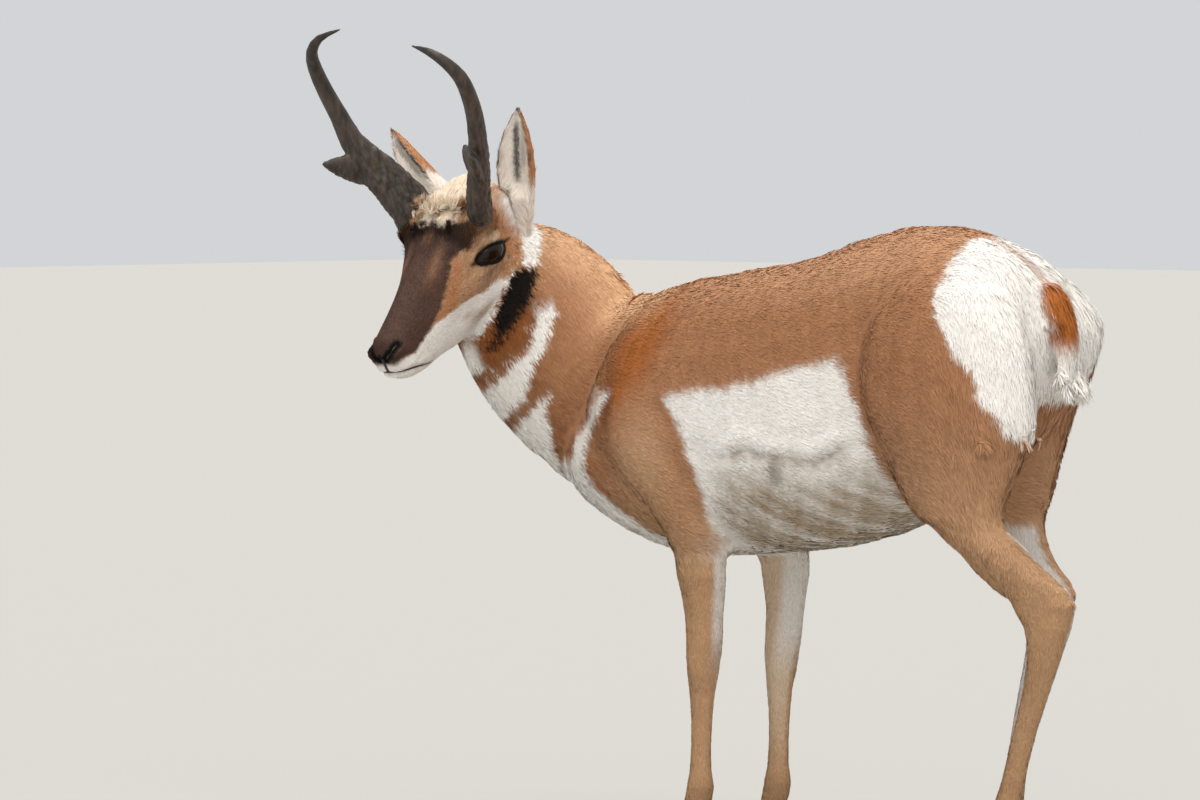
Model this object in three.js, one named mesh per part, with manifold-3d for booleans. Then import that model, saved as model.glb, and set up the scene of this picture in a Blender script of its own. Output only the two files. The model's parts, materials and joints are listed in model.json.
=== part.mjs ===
// A pronghorn buck standing still, life size, with its head turned to its left.
// Millimetres. The body points along -X, its left side is -Y, and the ground is z = 0.
// The origin ends up at the middle of the underside of the whole animal's box.
import * as THREE from 'three';
import { mergeVertices } from 'three/addons/utils/BufferGeometryUtils.js';
import Module from 'manifold-3d';

const wasm = await Module();
wasm.setup();

// Driving dimensions
const gap = 0.3;
const headTurn = 98;
const headPitch = 41.6;
const headRoll = 2;
const headCentre = [-484, -202, 842];
const eyePlace = [-18, 50, -13];
const eyeRadius = 25.5;
const lidThickness = 2.7;
const eyeLength = 48;
const eyeHeight = 25;
const eyeTilt = 21;
const eyeFacing = 25;
const elbowLevel = 424;
const stifleLevel = 478;
const neckCut = [-345, 0, 700];
const neckCutNormal = [-0.8, -0.05, 0.6];
const hoofHeight = 44;

const point = (x, y, z) => new THREE.Vector3(x, y, z);
const radians = THREE.MathUtils.degToRad;

// Curves and sections

// Every number of a row of stations, blended smoothly at place s along the row.
function blend(stations, s) {
  const last = stations.length - 1;
  const i = Math.min(Math.floor(s), last - 1);
  const t = s - i;
  const a = stations[Math.max(i - 1, 0)];
  const b = stations[i];
  const c = stations[i + 1];
  const d = stations[Math.min(i + 2, last)];
  const out = {};
  for (const key of Object.keys(b)) {
    const rise = (c[key] - a[key]) / 2;
    const fall = (d[key] - b[key]) / 2;
    const t2 = t * t;
    const t3 = t2 * t;
    out[key] = b[key] * (2 * t3 - 3 * t2 + 1) + rise * (t3 - 2 * t2 + t)
      + c[key] * (3 * t2 - 2 * t3) + fall * (t3 - t2);
  }
  return out;
}

function spread(stations, steps) {
  const rows = [];
  const last = stations.length - 1;
  for (let k = 0; k <= last * steps; k += 1) rows.push(blend(stations, k / steps));
  return rows;
}

// Side and height of one place on a rounded section; n = 2 is an ellipse.
function rounded(angle, n) {
  const c = Math.cos(angle);
  const s = Math.sin(angle);
  const side = Math.sign(c) * Math.abs(c) ** (2 / n);
  const rise = Math.sign(s) * Math.abs(s) ** (2 / n);
  return [side, rise];
}

// A closed skin through rings of equal count, with a fan at each end.
function loft(rings) {
  const count = rings[0].length;
  const places = rings.flat();
  const faces = [];
  for (let r = 0; r + 1 < rings.length; r += 1) {
    for (let k = 0; k < count; k += 1) {
      const a = r * count + k;
      const b = r * count + (k + 1) % count;
      faces.push(a, b, b + count, a, b + count, a + count);
    }
  }
  for (const [start, flip] of [[0, true], [(rings.length - 1) * count, false]]) {
    const middle = point(0, 0, 0);
    for (let k = 0; k < count; k += 1) middle.add(places[start + k]);
    places.push(middle.divideScalar(count));
    const hub = places.length - 1;
    for (let k = 0; k < count; k += 1) {
      const a = start + k;
      const b = start + (k + 1) % count;
      if (flip) faces.push(hub, b, a);
      else faces.push(hub, a, b);
    }
  }
  const geometry = new THREE.BufferGeometry();
  geometry.setFromPoints(places);
  geometry.setIndex(faces);
  return geometry;
}

// Solids

function solidOf(geometry) {
  const bare = geometry.clone();
  bare.deleteAttribute('normal');
  bare.deleteAttribute('uv');
  const merged = mergeVertices(bare, 1e-4);
  const make = (indices) => new wasm.Manifold(new wasm.Mesh({
    numProp: 3,
    vertProperties: new Float32Array(merged.attributes.position.array),
    triVerts: new Uint32Array(indices),
  }));
  const indices = Array.from(merged.index.array);
  const solid = make(indices);
  if (solid.volume() > 0) return solid;
  for (let k = 0; k < indices.length; k += 3) {
    [indices[k], indices[k + 1]] = [indices[k + 1], indices[k]];
  }
  return make(indices);
}

function largest(solid) {
  const pieces = solid.decompose();
  pieces.sort((a, b) => b.volume() - a.volume());
  return pieces[0];
}

function joined(solids) {
  let all = solids[0];
  for (const solid of solids.slice(1)) all = all.add(solid);
  return all;
}

function geometryOf(solid) {
  const mesh = solid.getMesh();
  const geometry = new THREE.BufferGeometry();
  const places = new THREE.BufferAttribute(new Float32Array(mesh.vertProperties), 3);
  geometry.setAttribute('position', places);
  geometry.setIndex(Array.from(mesh.triVerts));
  return geometry;
}

// The same shape pushed outwards by a small distance, for the gap to a neighbour.
function swollen(geometry, distance) {
  const bare = geometry.clone();
  bare.deleteAttribute('normal');
  bare.deleteAttribute('uv');
  const merged = mergeVertices(bare, 1e-4);
  merged.computeVertexNormals();
  const solid = solidOf(merged);
  const sign = solid.volume() > 0 && signedVolume(merged) > 0 ? 1 : -1;
  const places = merged.attributes.position;
  const normals = merged.attributes.normal;
  for (let k = 0; k < places.count; k += 1) {
    places.setXYZ(
      k,
      places.getX(k) + sign * distance * normals.getX(k),
      places.getY(k) + sign * distance * normals.getY(k),
      places.getZ(k) + sign * distance * normals.getZ(k),
    );
  }
  return solidOf(merged);
}

function signedVolume(geometry) {
  const places = geometry.attributes.position;
  const index = geometry.index;
  const a = point(0, 0, 0);
  const b = point(0, 0, 0);
  const c = point(0, 0, 0);
  let sum = 0;
  for (let k = 0; k < index.count; k += 3) {
    a.fromBufferAttribute(places, index.getX(k));
    b.fromBufferAttribute(places, index.getX(k + 1));
    c.fromBufferAttribute(places, index.getX(k + 2));
    sum += a.dot(b.cross(c));
  }
  return sum / 6;
}

// A thin wide slab through a place, to part a body into two with a gap.
function slab(centre, normal, wide) {
  const box = new THREE.BoxGeometry(wide, wide, gap);
  const turn = new THREE.Quaternion().setFromUnitVectors(point(0, 0, 1), normal.clone().normalize());
  box.applyQuaternion(turn);
  box.translate(centre.x, centre.y, centre.z);
  return solidOf(box);
}

// Soft swelling of a geometry round a place: a push that fades out over the given reach.
function swell(geometry, bumps) {
  const places = geometry.attributes.position;
  for (let k = 0; k < places.count; k += 1) {
    const p = point(places.getX(k), places.getY(k), places.getZ(k));
    for (const { at, reach, push } of bumps) {
      const far = Math.hypot((p.x - at[0]) / reach[0], (p.y - at[1]) / reach[1], (p.z - at[2]) / reach[2]);
      if (far < 1) p.addScaledVector(point(...push), (1 - far * far) ** 2);
    }
    places.setXYZ(k, p.x, p.y, p.z);
  }
  return geometry;
}

// Both sides of a bump that is given for the left (+Y of the head) side.
const mirrored = (bumps) => bumps.flatMap((b) => [b, {
  at: [b.at[0], -b.at[1], b.at[2]],
  reach: b.reach,
  push: [b.push[0], -b.push[1], b.push[2]],
}]);

// Trunk: sections across X
const trunkStations = [
  { x: -402, top: 590, wide: 548, bottom: 515, half: 30, n: 2 },
  { x: -392, top: 640, wide: 555, bottom: 492, half: 62, n: 2 },
  { x: -365, top: 690, wide: 565, bottom: 474, half: 88, n: 2 },
  { x: -325, top: 745, wide: 578, bottom: 455, half: 106, n: 2 },
  { x: -275, top: 784, wide: 588, bottom: 436, half: 119, n: 2 },
  { x: -210, top: 803, wide: 592, bottom: 420, half: 128, n: 2 },
  { x: -130, top: 817, wide: 592, bottom: 418, half: 135, n: 2.1 },
  { x: -40, top: 829, wide: 595, bottom: 424, half: 142, n: 2.2 },
  { x: 50, top: 844, wide: 602, bottom: 433, half: 145, n: 2.2 },
  { x: 130, top: 868, wide: 620, bottom: 446, half: 140, n: 2.2 },
  { x: 195, top: 883, wide: 645, bottom: 464, half: 130, n: 2.2 },
  { x: 255, top: 888, wide: 675, bottom: 488, half: 124, n: 2.2 },
  { x: 310, top: 885, wide: 700, bottom: 520, half: 124, n: 2.2 },
  { x: 360, top: 871, wide: 705, bottom: 550, half: 120, n: 2.2 },
  { x: 400, top: 850, wide: 705, bottom: 580, half: 108, n: 2.1 },
  { x: 435, top: 826, wide: 705, bottom: 610, half: 86, n: 2 },
  { x: 458, top: 805, wide: 712, bottom: 645, half: 55, n: 2 },
  { x: 468, top: 780, wide: 720, bottom: 675, half: 26, n: 2 },
];

function acrossX(row, sides) {
  const ring = [];
  for (let k = 0; k < sides; k += 1) {
    const [side, rise] = rounded((k / sides) * 2 * Math.PI, row.n);
    const tall = rise > 0 ? row.top - row.wide : row.wide - row.bottom;
    ring.push(point(row.x, side * row.half, row.wide + rise * tall));
  }
  return ring;
}

function makeTrunk() {
  const rings = spread(trunkStations, 2).map((row) => acrossX(row, 26));
  return swell(loft(rings), [
    { at: [-170, -120, 660], reach: [120, 70, 140], push: [0, -9, 0] },
    { at: [-170, 120, 660], reach: [120, 70, 140], push: [0, 9, 0] },
    { at: [-330, -90, 560], reach: [90, 70, 90], push: [-6, -6, 0] },
    { at: [-330, 90, 560], reach: [90, 70, 90], push: [-6, 6, 0] },
    { at: [415, -62, 825], reach: [85, 80, 75], push: [8, -3, 8] },
    { at: [415, 62, 825], reach: [85, 80, 75], push: [8, 3, 8] },
    { at: [265, -110, 800], reach: [70, 50, 60], push: [0, -7, 3] },
    { at: [265, 110, 800], reach: [70, 50, 60], push: [0, 7, 3] },
  ]);
}

// Neck: sections across its own line. up is the side of the nape.
const neckStations = [
  { x: -215, y: 0, z: 612, depth: 150, half: 98, ux: 0.24, uy: 0, uz: 0.97 },
  { x: -329, y: 0, z: 639, depth: 158, half: 104, ux: 0.45, uy: 0, uz: 0.89 },
  { x: -394, y: -20, z: 669, depth: 141, half: 97, ux: 0.60, uy: 0.12, uz: 0.80 },
  { x: -427, y: -49, z: 719, depth: 131, half: 86, ux: 0.50, uy: 0.30, uz: 0.81 },
  { x: -446, y: -73, z: 758, depth: 124, half: 78, ux: 0.45, uy: 0.42, uz: 0.78 },
  { x: -468, y: -96, z: 793, depth: 110, half: 70, ux: 0.42, uy: 0.45, uz: 0.79 },
  { x: -487, y: -116, z: 822, depth: 95, half: 64, ux: 0.50, uy: 0.52, uz: 0.69 },
  { x: -494, y: -130, z: 846, depth: 84, half: 56, ux: 0.58, uy: 0.57, uz: 0.58 },
  { x: -499, y: -135, z: 862, depth: 70, half: 48, ux: 0.6, uy: 0.56, uz: 0.57 },
];

function makeNeck() {
  const rows = spread(neckStations, 2);
  const rings = rows.map((row, k) => {
    const ahead = rows[Math.min(k + 1, rows.length - 1)];
    const behind = rows[Math.max(k - 1, 0)];
    const along = point(ahead.x - behind.x, ahead.y - behind.y, ahead.z - behind.z).normalize();
    const up = point(row.ux, row.uy, row.uz);
    up.addScaledVector(along, -up.dot(along)).normalize();
    const side = point(0, 0, 0).crossVectors(along, up);
    const ring = [];
    for (let j = 0; j < 26; j += 1) {
      const [s, r] = rounded((j / 26) * 2 * Math.PI, 2);
      const narrow = r > 0 ? 1 - 0.18 * r * r : 1;
      ring.push(point(row.x, row.y, row.z)
        .addScaledVector(side, s * row.half * narrow)
        .addScaledVector(up, r * row.depth));
    }
    return ring;
  });
  return loft(rings);
}

// Head: x runs to the nose, y to the animal's left and z to the brow.
const headStations = [
  { x: -132, top: 14, wide: -20, bottom: -46, half: 26, n: 2 },
  { x: -122, top: 34, wide: -14, bottom: -68, half: 44, n: 2 },
  { x: -98, top: 50, wide: -8, bottom: -90, half: 57, n: 2.1 },
  { x: -68, top: 56, wide: -4, bottom: -105, half: 62, n: 2.1 },
  { x: -36, top: 56, wide: -2, bottom: -112, half: 64, n: 2.1 },
  { x: -4, top: 52, wide: -2, bottom: -113, half: 64, n: 2.1 },
  { x: 28, top: 45, wide: -6, bottom: -111, half: 58, n: 2.1 },
  { x: 60, top: 38, wide: -14, bottom: -108, half: 48, n: 2.1 },
  { x: 92, top: 31, wide: -20, bottom: -100, half: 40, n: 2.1 },
  { x: 124, top: 25, wide: -24, bottom: -88, half: 35, n: 2.1 },
  { x: 156, top: 20, wide: -25, bottom: -80, half: 32, n: 2.1 },
  { x: 184, top: 16, wide: -22, bottom: -69, half: 30, n: 2.1 },
  { x: 203, top: 10, wide: -19, bottom: -56, half: 26, n: 2.1 },
  { x: 214, top: 0, wide: -18, bottom: -41, half: 17, n: 2 },
];

// The head's own frame in the world.
function headFrame() {
  const turn = radians(headTurn);
  const pitch = radians(headPitch);
  const level = point(-Math.cos(turn), -Math.sin(turn), 0);
  const left = point(-level.y, level.x, 0);
  const ahead = level.clone().multiplyScalar(Math.cos(pitch)).add(point(0, 0, -Math.sin(pitch)));
  const up = point(0, 0, 0).crossVectors(ahead, left);
  const frame = new THREE.Matrix4().makeBasis(ahead, left, up);
  frame.multiply(new THREE.Matrix4().makeRotationX(radians(headRoll)));
  frame.setPosition(...headCentre);
  return frame;
}

const headPlace = headFrame();

function makeSkull() {
  const rings = spread(headStations, 2).map((row) => acrossX(row, 30));
  return swell(loft(rings), mirrored([
    { at: [-30, 58, 30], reach: [52, 38, 34], push: [0, 13, 7] },
    { at: [-22, 62, -12], reach: [56, 34, 38], push: [0, 6, 0] },
    { at: [6, 48, -74], reach: [62, 36, 46], push: [0, 9, -2] },
    { at: [46, 52, -26], reach: [44, 24, 18], push: [0, 4, 0] },
    { at: [96, 34, 4], reach: [60, 20, 22], push: [0, -5, 0] },
    { at: [70, 40, -52], reach: [40, 24, 24], push: [0, -4, 0] },
    { at: [200, 20, -6], reach: [22, 16, 16], push: [2, 6, 2] },
    { at: [182, 26, -44], reach: [34, 14, 12], push: [0, 3, -1] },
  ]));
}

function ball(radius, centre, stretch, turnZ = 0) {
  const geometry = new THREE.SphereGeometry(radius, 16, 10);
  geometry.scale(...stretch);
  geometry.rotateZ(turnZ);
  geometry.translate(...centre);
  return geometry;
}

// An almond-shaped plug that opens the lids from outside.
function lidOpening(side) {
  const shape = new THREE.Shape();
  const a = eyeLength / 2;
  const b = eyeHeight / 2;
  shape.moveTo(-a, 1);
  shape.bezierCurveTo(-a * 0.6, b * 1.35, a * 0.45, b * 1.25, a, -2);
  shape.bezierCurveTo(a * 0.5, -b * 1.15, -a * 0.6, -b * 1.2, -a, 1);
  const plug = new THREE.ExtrudeGeometry(shape, { depth: 40, bevelEnabled: false, curveSegments: 5 });
  plug.rotateZ(radians(eyeTilt));
  plug.rotateX(radians(90));
  plug.translate(0, side > 0 ? 46 : -6, 0);
  plug.rotateZ(radians(-side * eyeFacing));
  plug.translate(...eyeCentre(side));
  return plug;
}

function eyeCentre(side) {
  return [eyePlace[0], side * eyePlace[1], eyePlace[2]];
}

function eyeBall(side, radius) {
  return ball(radius, eyeCentre(side), [1, 1, 1]);
}

// The line of the lips, from one corner of the mouth round the front to the other.
function mouthLine() {
  const half = [[212, 13, -34], [203, 22, -38], [193, 26, -43], [179, 25, -52], [164, 22.5, -63], [152, 19, -71]];
  const other = half.map(([x, y, z]) => [x, -y, z]).reverse();
  const places = [...half.reverse(), [215.5, 0, -31], ...other].map((p) => point(...p));
  return new THREE.TubeGeometry(new THREE.CatmullRomCurve3(places), 22, 1.9, 5, false);
}

function capped(tube, sides) {
  const places = tube.attributes.position;
  const rings = [];
  for (let k = 0; k < places.count; k += sides + 1) {
    const ring = [];
    for (let j = 0; j < sides; j += 1) ring.push(point(0, 0, 0).fromBufferAttribute(places, k + j));
    rings.push(ring);
  }
  return loft(rings);
}

function makeHead() {
  let solid = solidOf(skull);
  for (const side of [-1, 1]) {
    solid = solid.add(solidOf(toWorld(eyeBall(side, eyeRadius + lidThickness))));
    solid = solid.subtract(solidOf(toWorld(eyeBall(side, eyeRadius + gap))));
    solid = solid.subtract(solidOf(toWorld(lidOpening(side))));
    solid = solid.subtract(solidOf(toWorld(ball(1, [207, side * 16, -9], [10, 4.5, 6.5], side * 0.5))));
  }
  solid = solid.subtract(solidOf(toWorld(capped(mouthLine(), 5))));
  return joined([solid, ...crownLocks()]);
}

// Horns: centre line in the head's frame, one for each side
const hornLines = {
  left: [
    [-30, 54, 24], [-34, 60, 42], [-40, 77, 84], [-44, 98, 125], [-48, 116, 168],
    [-56, 125, 203], [-59, 132, 240], [-59, 134, 270], [-57, 125, 299], [-58, 106, 318], [-66, 74, 323],
  ],
  right: [
    [-32, -53, 26], [-37, -58, 48], [-42, -73, 86], [-43, -91, 127], [-46, -105, 170],
    [-57, -114, 207], [-61, -117, 248], [-64, -115, 290], [-64, -104, 320], [-69, -82, 340], [-82, -50, 344],
  ],
};
const hornThickness = [
  { long: 33, flat: 19 }, { long: 32, flat: 18 }, { long: 29, flat: 16 }, { long: 25, flat: 14 },
  { long: 17, flat: 13 }, { long: 13, flat: 12 }, { long: 11.5, flat: 11 }, { long: 10, flat: 10 },
  { long: 8, flat: 8 }, { long: 5.5, flat: 5.5 }, { long: 1.5, flat: 1.5 },
];

function makeHorn(side) {
  const line = hornLines[side > 0 ? 'left' : 'right'];
  const curve = new THREE.CatmullRomCurve3(line.map((p) => point(...p)), false, 'centripetal');
  const rows = spread(hornThickness, 2);
  const forward = point(Math.cos(radians(35)), side * Math.sin(radians(35)), 0);
  const rings = rows.map((row, k) => {
    const t = k / (rows.length - 1);
    const centre = curve.getPoint(t);
    const along = curve.getTangent(t);
    const fore = forward.clone().addScaledVector(along, -forward.dot(along)).normalize();
    const across = point(0, 0, 0).crossVectors(along, fore);
    const ring = [];
    for (let j = 0; j < 12; j += 1) {
      const [s, r] = rounded((j / 12) * 2 * Math.PI, 2);
      ring.push(centre.clone().addScaledVector(fore, s * row.long).addScaledVector(across, r * row.flat));
    }
    return ring;
  });
  return solidOf(toWorld(loft(rings))).add(solidOf(toWorld(makeProng(side, forward))));
}

// The flat prong that points forward and up from the middle of the horn.
function makeProng(side, forward) {
  const root = point(-43, side * 86, 124);
  const out = point(42, side * 48, 44);
  const rows = [
    { t: 0, tall: 30, flat: 10 }, { t: 0.35, tall: 25, flat: 9 }, { t: 0.7, tall: 15, flat: 6.5 },
    { t: 0.92, tall: 6, flat: 3.5 }, { t: 1, tall: 1.2, flat: 1 },
  ];
  const across = point(0, 0, 0).crossVectors(forward, point(0, 0, 1)).normalize();
  const tall = point(0, 0, 0).crossVectors(across, out).normalize();
  const rings = rows.map((row) => {
    const centre = root.clone().addScaledVector(out, row.t).addScaledVector(point(0, 0, 1), -14 * row.t * (1 - row.t));
    const ring = [];
    for (let j = 0; j < 12; j += 1) {
      const [s, r] = rounded((j / 12) * 2 * Math.PI, 2);
      ring.push(centre.clone().addScaledVector(tall, s * row.tall).addScaledVector(across, r * row.flat));
    }
    return ring;
  });
  return loft(rings);
}

// Ears: a leaf-shaped shell with its cup open. base and tip are in the head's frame.
const ears = {
  left: { base: [-104, 61, -10], tip: [-190, 69, 97], face: [0.76, 0.31, 0.67] },
  right: { base: [-103, -68, 9], tip: [-184, -170, 69], face: [0.59, -0.48, 0.52] },
};

function makeEar(side) {
  const { base, tip, face } = ears[side > 0 ? 'left' : 'right'];
  const root = point(...base);
  const along = point(...tip).sub(root);
  const front = point(...face);
  const axis = along.clone().normalize();
  front.addScaledVector(axis, -front.dot(axis)).normalize();
  const across = point(0, 0, 0).crossVectors(axis, front);
  const rows = [
    { t: -0.4, half: 9, deep: 9, hollow: 0 }, { t: -0.15, half: 17, deep: 17, hollow: 0 },
    { t: 0.03, half: 21, deep: 20, hollow: 0 },
    { t: 0.12, half: 23, deep: 20, hollow: 0.6 }, { t: 0.22, half: 26, deep: 20, hollow: 0.82 },
    { t: 0.38, half: 28, deep: 17, hollow: 0.86 }, { t: 0.56, half: 26, deep: 13, hollow: 0.84 },
    { t: 0.74, half: 20, deep: 9, hollow: 0.8 }, { t: 0.9, half: 10, deep: 5, hollow: 0.6 },
    { t: 1, half: 2, deep: 1.5, hollow: 0 },
  ];
  const reach = radians(112);
  const steps = 8;
  const rings = rows.map((row) => {
    const centre = root.clone().addScaledVector(along, row.t).addScaledVector(front, 9 * Math.sin(Math.PI * row.t));
    const place = (aside, depth) => centre.clone().addScaledVector(across, aside).addScaledVector(front, depth);
    const ring = [];
    for (let j = 0; j <= steps; j += 1) {
      const angle = -reach + (2 * reach * j) / steps;
      ring.push(place(Math.sin(angle) * row.half, -Math.cos(angle) * row.deep));
    }
    for (let j = steps - 1; j >= 1; j -= 1) {
      const angle = -reach + (2 * reach * j) / steps;
      const even = Math.sin(reach) * (angle / reach);
      const inner = 1 - row.hollow;
      const aside = (Math.sin(angle) * 0.88 * row.hollow + even * inner) * row.half;
      const depth = (-Math.cos(angle) * 0.84 * row.hollow - Math.cos(reach) * inner) * row.deep;
      ring.push(place(aside, depth));
    }
    return ring;
  });
  return toWorld(loft(rings));
}

// Legs: level sections from the top down, with the front and back of each
const frontLeft = [
  { z: 775, front: -250, back: -160, y: -52, half: 16 },
  { z: 715, front: -286, back: -122, y: -78, half: 36 },
  { z: 650, front: -312, back: -100, y: -92, half: 46 },
  { z: 600, front: -318, back: -84, y: -93, half: 50 },
  { z: 555, front: -286, back: -70, y: -92, half: 50 },
  { z: 505, front: -218, back: -60, y: -90, half: 46 },
  { z: 460, front: -172, back: -64, y: -87, half: 40 },
  { z: 427, front: -155, back: -67, y: -85, half: 37 },
  { z: 401, front: -148, back: -69, y: -83, half: 33 },
  { z: 374, front: -143, back: -73, y: -80, half: 29 },
  { z: 342, front: -138, back: -78, y: -78, half: 26 },
  { z: 313, front: -137, back: -81, y: -76, half: 26 },
  { z: 289, front: -137, back: -86, y: -75, half: 26.5 },
  { z: 263, front: -135, back: -91, y: -75, half: 25 },
  { z: 237, front: -135, back: -95, y: -74, half: 19 },
  { z: 205, front: -133, back: -98, y: -74, half: 15.5 },
  { z: 165, front: -133, back: -101, y: -74, half: 14.5 },
  { z: 130, front: -135, back: -101, y: -74, half: 15.5 },
  { z: 106, front: -139, back: -98, y: -74, half: 19.5 },
  { z: 88, front: -143, back: -101, y: -74, half: 20 },
  { z: 66, front: -150, back: -112, y: -74, half: 18 },
  { z: 54, front: -156, back: -115, y: -74, half: 20 },
  { z: 44.3, front: -161, back: -116, y: -74, half: 21 },
];
const backLeft = [
  { z: 840, front: 262, back: 400, y: -46, half: 34 },
  { z: 800, front: 230, back: 445, y: -68, half: 60 },
  { z: 760, front: 205, back: 472, y: -80, half: 70 },
  { z: 715, front: 190, back: 491, y: -84, half: 78 },
  { z: 670, front: 190, back: 500, y: -86, half: 78 },
  { z: 630, front: 203, back: 503, y: -88, half: 75 },
  { z: 598, front: 225, back: 495, y: -88, half: 70 },
  { z: 558, front: 257, back: 478, y: -92, half: 60 },
  { z: 518, front: 288, back: 463, y: -98, half: 50 },
  { z: 491, front: 317, back: 462, y: -102, half: 43 },
  { z: 468, front: 355, back: 484, y: -100, half: 37 },
  { z: 450, front: 384, back: 504, y: -98, half: 33 },
  { z: 425, front: 409, back: 539, y: -96, half: 29 },
  { z: 404, front: 436, back: 570, y: -94, half: 26 },
  { z: 385, front: 468, back: 584, y: -92, half: 25.5 },
  { z: 354, front: 494, back: 573, y: -90, half: 26 },
  { z: 333, front: 502, back: 563, y: -90, half: 25 },
  { z: 306, front: 500, back: 553, y: -90, half: 20.5 },
  { z: 266, front: 490, back: 535, y: -88, half: 16 },
  { z: 213, front: 474, back: 511, y: -87, half: 15 },
  { z: 165, front: 459, back: 495, y: -87, half: 14.5 },
  { z: 128, front: 446, back: 483, y: -87, half: 16 },
  { z: 106, front: 437, back: 479, y: -87, half: 19.5 },
  { z: 88, front: 428, back: 472, y: -87, half: 20 },
  { z: 66, front: 415, back: 455, y: -87, half: 18 },
  { z: 54, front: 406, back: 449, y: -87, half: 20 },
  { z: 44.3, front: 401, back: 447, y: -87, half: 21 },
];

// The other leg of a pair: mirrored, and swung by a shift that grows from the joint down.
function otherLeg(stations, swing, inward) {
  return stations.map((row) => {
    const shift = swing(row.z);
    return { z: row.z, front: row.front + shift, back: row.back + shift, y: -row.y - inward, half: row.half };
  });
}

const ease = (z, from, to) => THREE.MathUtils.smoothstep(-z, -from, -to);
const thighSwing = (z) => -88 * ease(z, 780, 600) - 72 * ease(z, 530, 405) + 14 * ease(z, 300, 100);

const frontRight = otherLeg(frontLeft, (z) => 14 * ease(z, 560, 300), 6);
const backRight = otherLeg(backLeft, thighSwing, 0);

function acrossZ(row, sides) {
  const ring = [];
  const middle = (row.front + row.back) / 2;
  const long = (row.back - row.front) / 2;
  for (let k = 0; k < sides; k += 1) {
    const [s, r] = rounded((k / sides) * 2 * Math.PI, 2);
    ring.push(point(middle + s * long, row.y + r * row.half, row.z));
  }
  return ring;
}

function makeLeg(stations) {
  const rows = spread(stations, 2).filter((row, k) => k % 2 === 0 || row.z > stifleLevel);
  return loft(rows.map((row) => acrossZ(row, 14)));
}

// Hooves: two pointed toes to a foot, flat on the ground
function makeToe(foot, side) {
  const outline = new THREE.Shape();
  const back = 26;
  outline.moveTo(back, 2);
  outline.bezierCurveTo(back, 14, 14, 22, 0, 21);
  outline.bezierCurveTo(-22, 19, -36, 9, -42, 2.5);
  outline.bezierCurveTo(-43, 1.5, -43, 0.8, -42, 0.6);
  outline.lineTo(back, 0.6);
  outline.lineTo(back, 2);
  const places = outline.getPoints(4);
  places.pop();
  const rings = [0, 0.35, 0.7, 1].map((t) => places.map((p) => {
    const shrink = 1 - 0.18 * t;
    const x = p.x * (1 - 0.3 * t) + t * 7;
    return point(foot.x + x, foot.y + side * (p.y * shrink + 0.6 * t), t * hoofHeight);
  }));
  return loft(rings);
}

// Tail: short, hanging against the rump
const tailStations = [
  { x: 448, y: 0, z: 812, wide: 20, deep: 14 },
  { x: 466, y: 0, z: 792, wide: 24, deep: 15 },
  { x: 480, y: 0, z: 760, wide: 27, deep: 15 },
  { x: 487, y: 0, z: 725, wide: 26, deep: 14 },
  { x: 490, y: 0, z: 690, wide: 18, deep: 10 },
  { x: 490, y: 0, z: 668, wide: 4, deep: 3 },
];

function makeTail() {
  const rings = spread(tailStations, 2).map((row) => {
    const ring = [];
    for (let k = 0; k < 14; k += 1) {
      const [s, r] = rounded((k / 14) * 2 * Math.PI, 2);
      ring.push(point(row.x + r * row.deep, row.y + s * row.wide, row.z + r * row.deep * 0.3));
    }
    return ring;
  });
  return loft(rings);
}

// Locks of the long hair: flat, tapered and bent along the lie

const lockSeed = { value: 7 };

function draw(low, high) {
  lockSeed.value = (lockSeed.value * 16807) % 2147483647;
  return low + ((high - low) * lockSeed.value) / 2147483647;
}

// A lock from its sunk root: lie is its way along the coat, out is the way off the body.
function makeLock({ root, lie, out, length, width, rise }) {
  const along = lie.clone().normalize();
  const off = out.clone().addScaledVector(along, -out.dot(along)).normalize();
  const across = point(0, 0, 0).crossVectors(along, off);
  const rows = [
    { t: 0, wide: 0.8 }, { t: 0.3, wide: 1 }, { t: 0.65, wide: 0.72 }, { t: 1, wide: 0.12 },
  ];
  const rings = rows.map(({ t, wide }) => {
    const lift = rise * Math.sin(Math.PI * 0.62 * t) - 4 * (1 - t);
    const centre = root.clone().addScaledVector(along, length * t).addScaledVector(off, lift);
    const half = (width / 2) * wide;
    return [
      centre.clone().addScaledVector(across, half),
      centre.clone().addScaledVector(off, half * 0.36),
      centre.clone().addScaledVector(across, -half),
      centre.clone().addScaledVector(off, -half * 0.36),
    ];
  });
  return solidOf(loft(rings));
}

const fromHead = (x, y, z) => point(x, y, z).applyMatrix4(headPlace);
const turnHead = (x, y, z) => point(x, y, z).transformDirection(headPlace);

function crownLocks() {
  const locks = [];
  for (const x of [-54, -36, -18]) {
    for (const y of [-18, -6, 6, 18]) {
      const root = fromHead(x + draw(-4, 4), y + draw(-3, 3), 52 - (y * y) / 90);
      const lie = turnHead(0.8, y / 40 + draw(-0.2, 0.2), -0.05);
      const out = turnHead(0.1, y / 60, 1);
      locks.push(makeLock({ root, lie, out, length: draw(26, 34), width: draw(11, 14), rise: x < -30 ? 13 : 8 }));
    }
  }
  return locks;
}

function maneLocks() {
  const locks = [];
  for (let k = 0; k < 10; k += 1) {
    const row = blend(neckStations, 6.1 - k * 0.33);
    const next = blend(neckStations, 5.9 - k * 0.33);
    const up = point(row.ux, row.uy, row.uz).normalize();
    const lie = point(next.x - row.x, next.y - row.y, next.z - row.z).normalize();
    const side = point(0, 0, 0).crossVectors(lie, up).normalize();
    const aside = (k % 2 ? 1 : -1) * draw(2, 12);
    const root = point(row.x, row.y, row.z).addScaledVector(up, row.depth - 2).addScaledVector(side, aside);
    locks.push(makeLock({ root, lie, out: up, length: draw(44, 56), width: draw(15, 19), rise: 12 }));
  }
  return locks;
}

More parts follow.
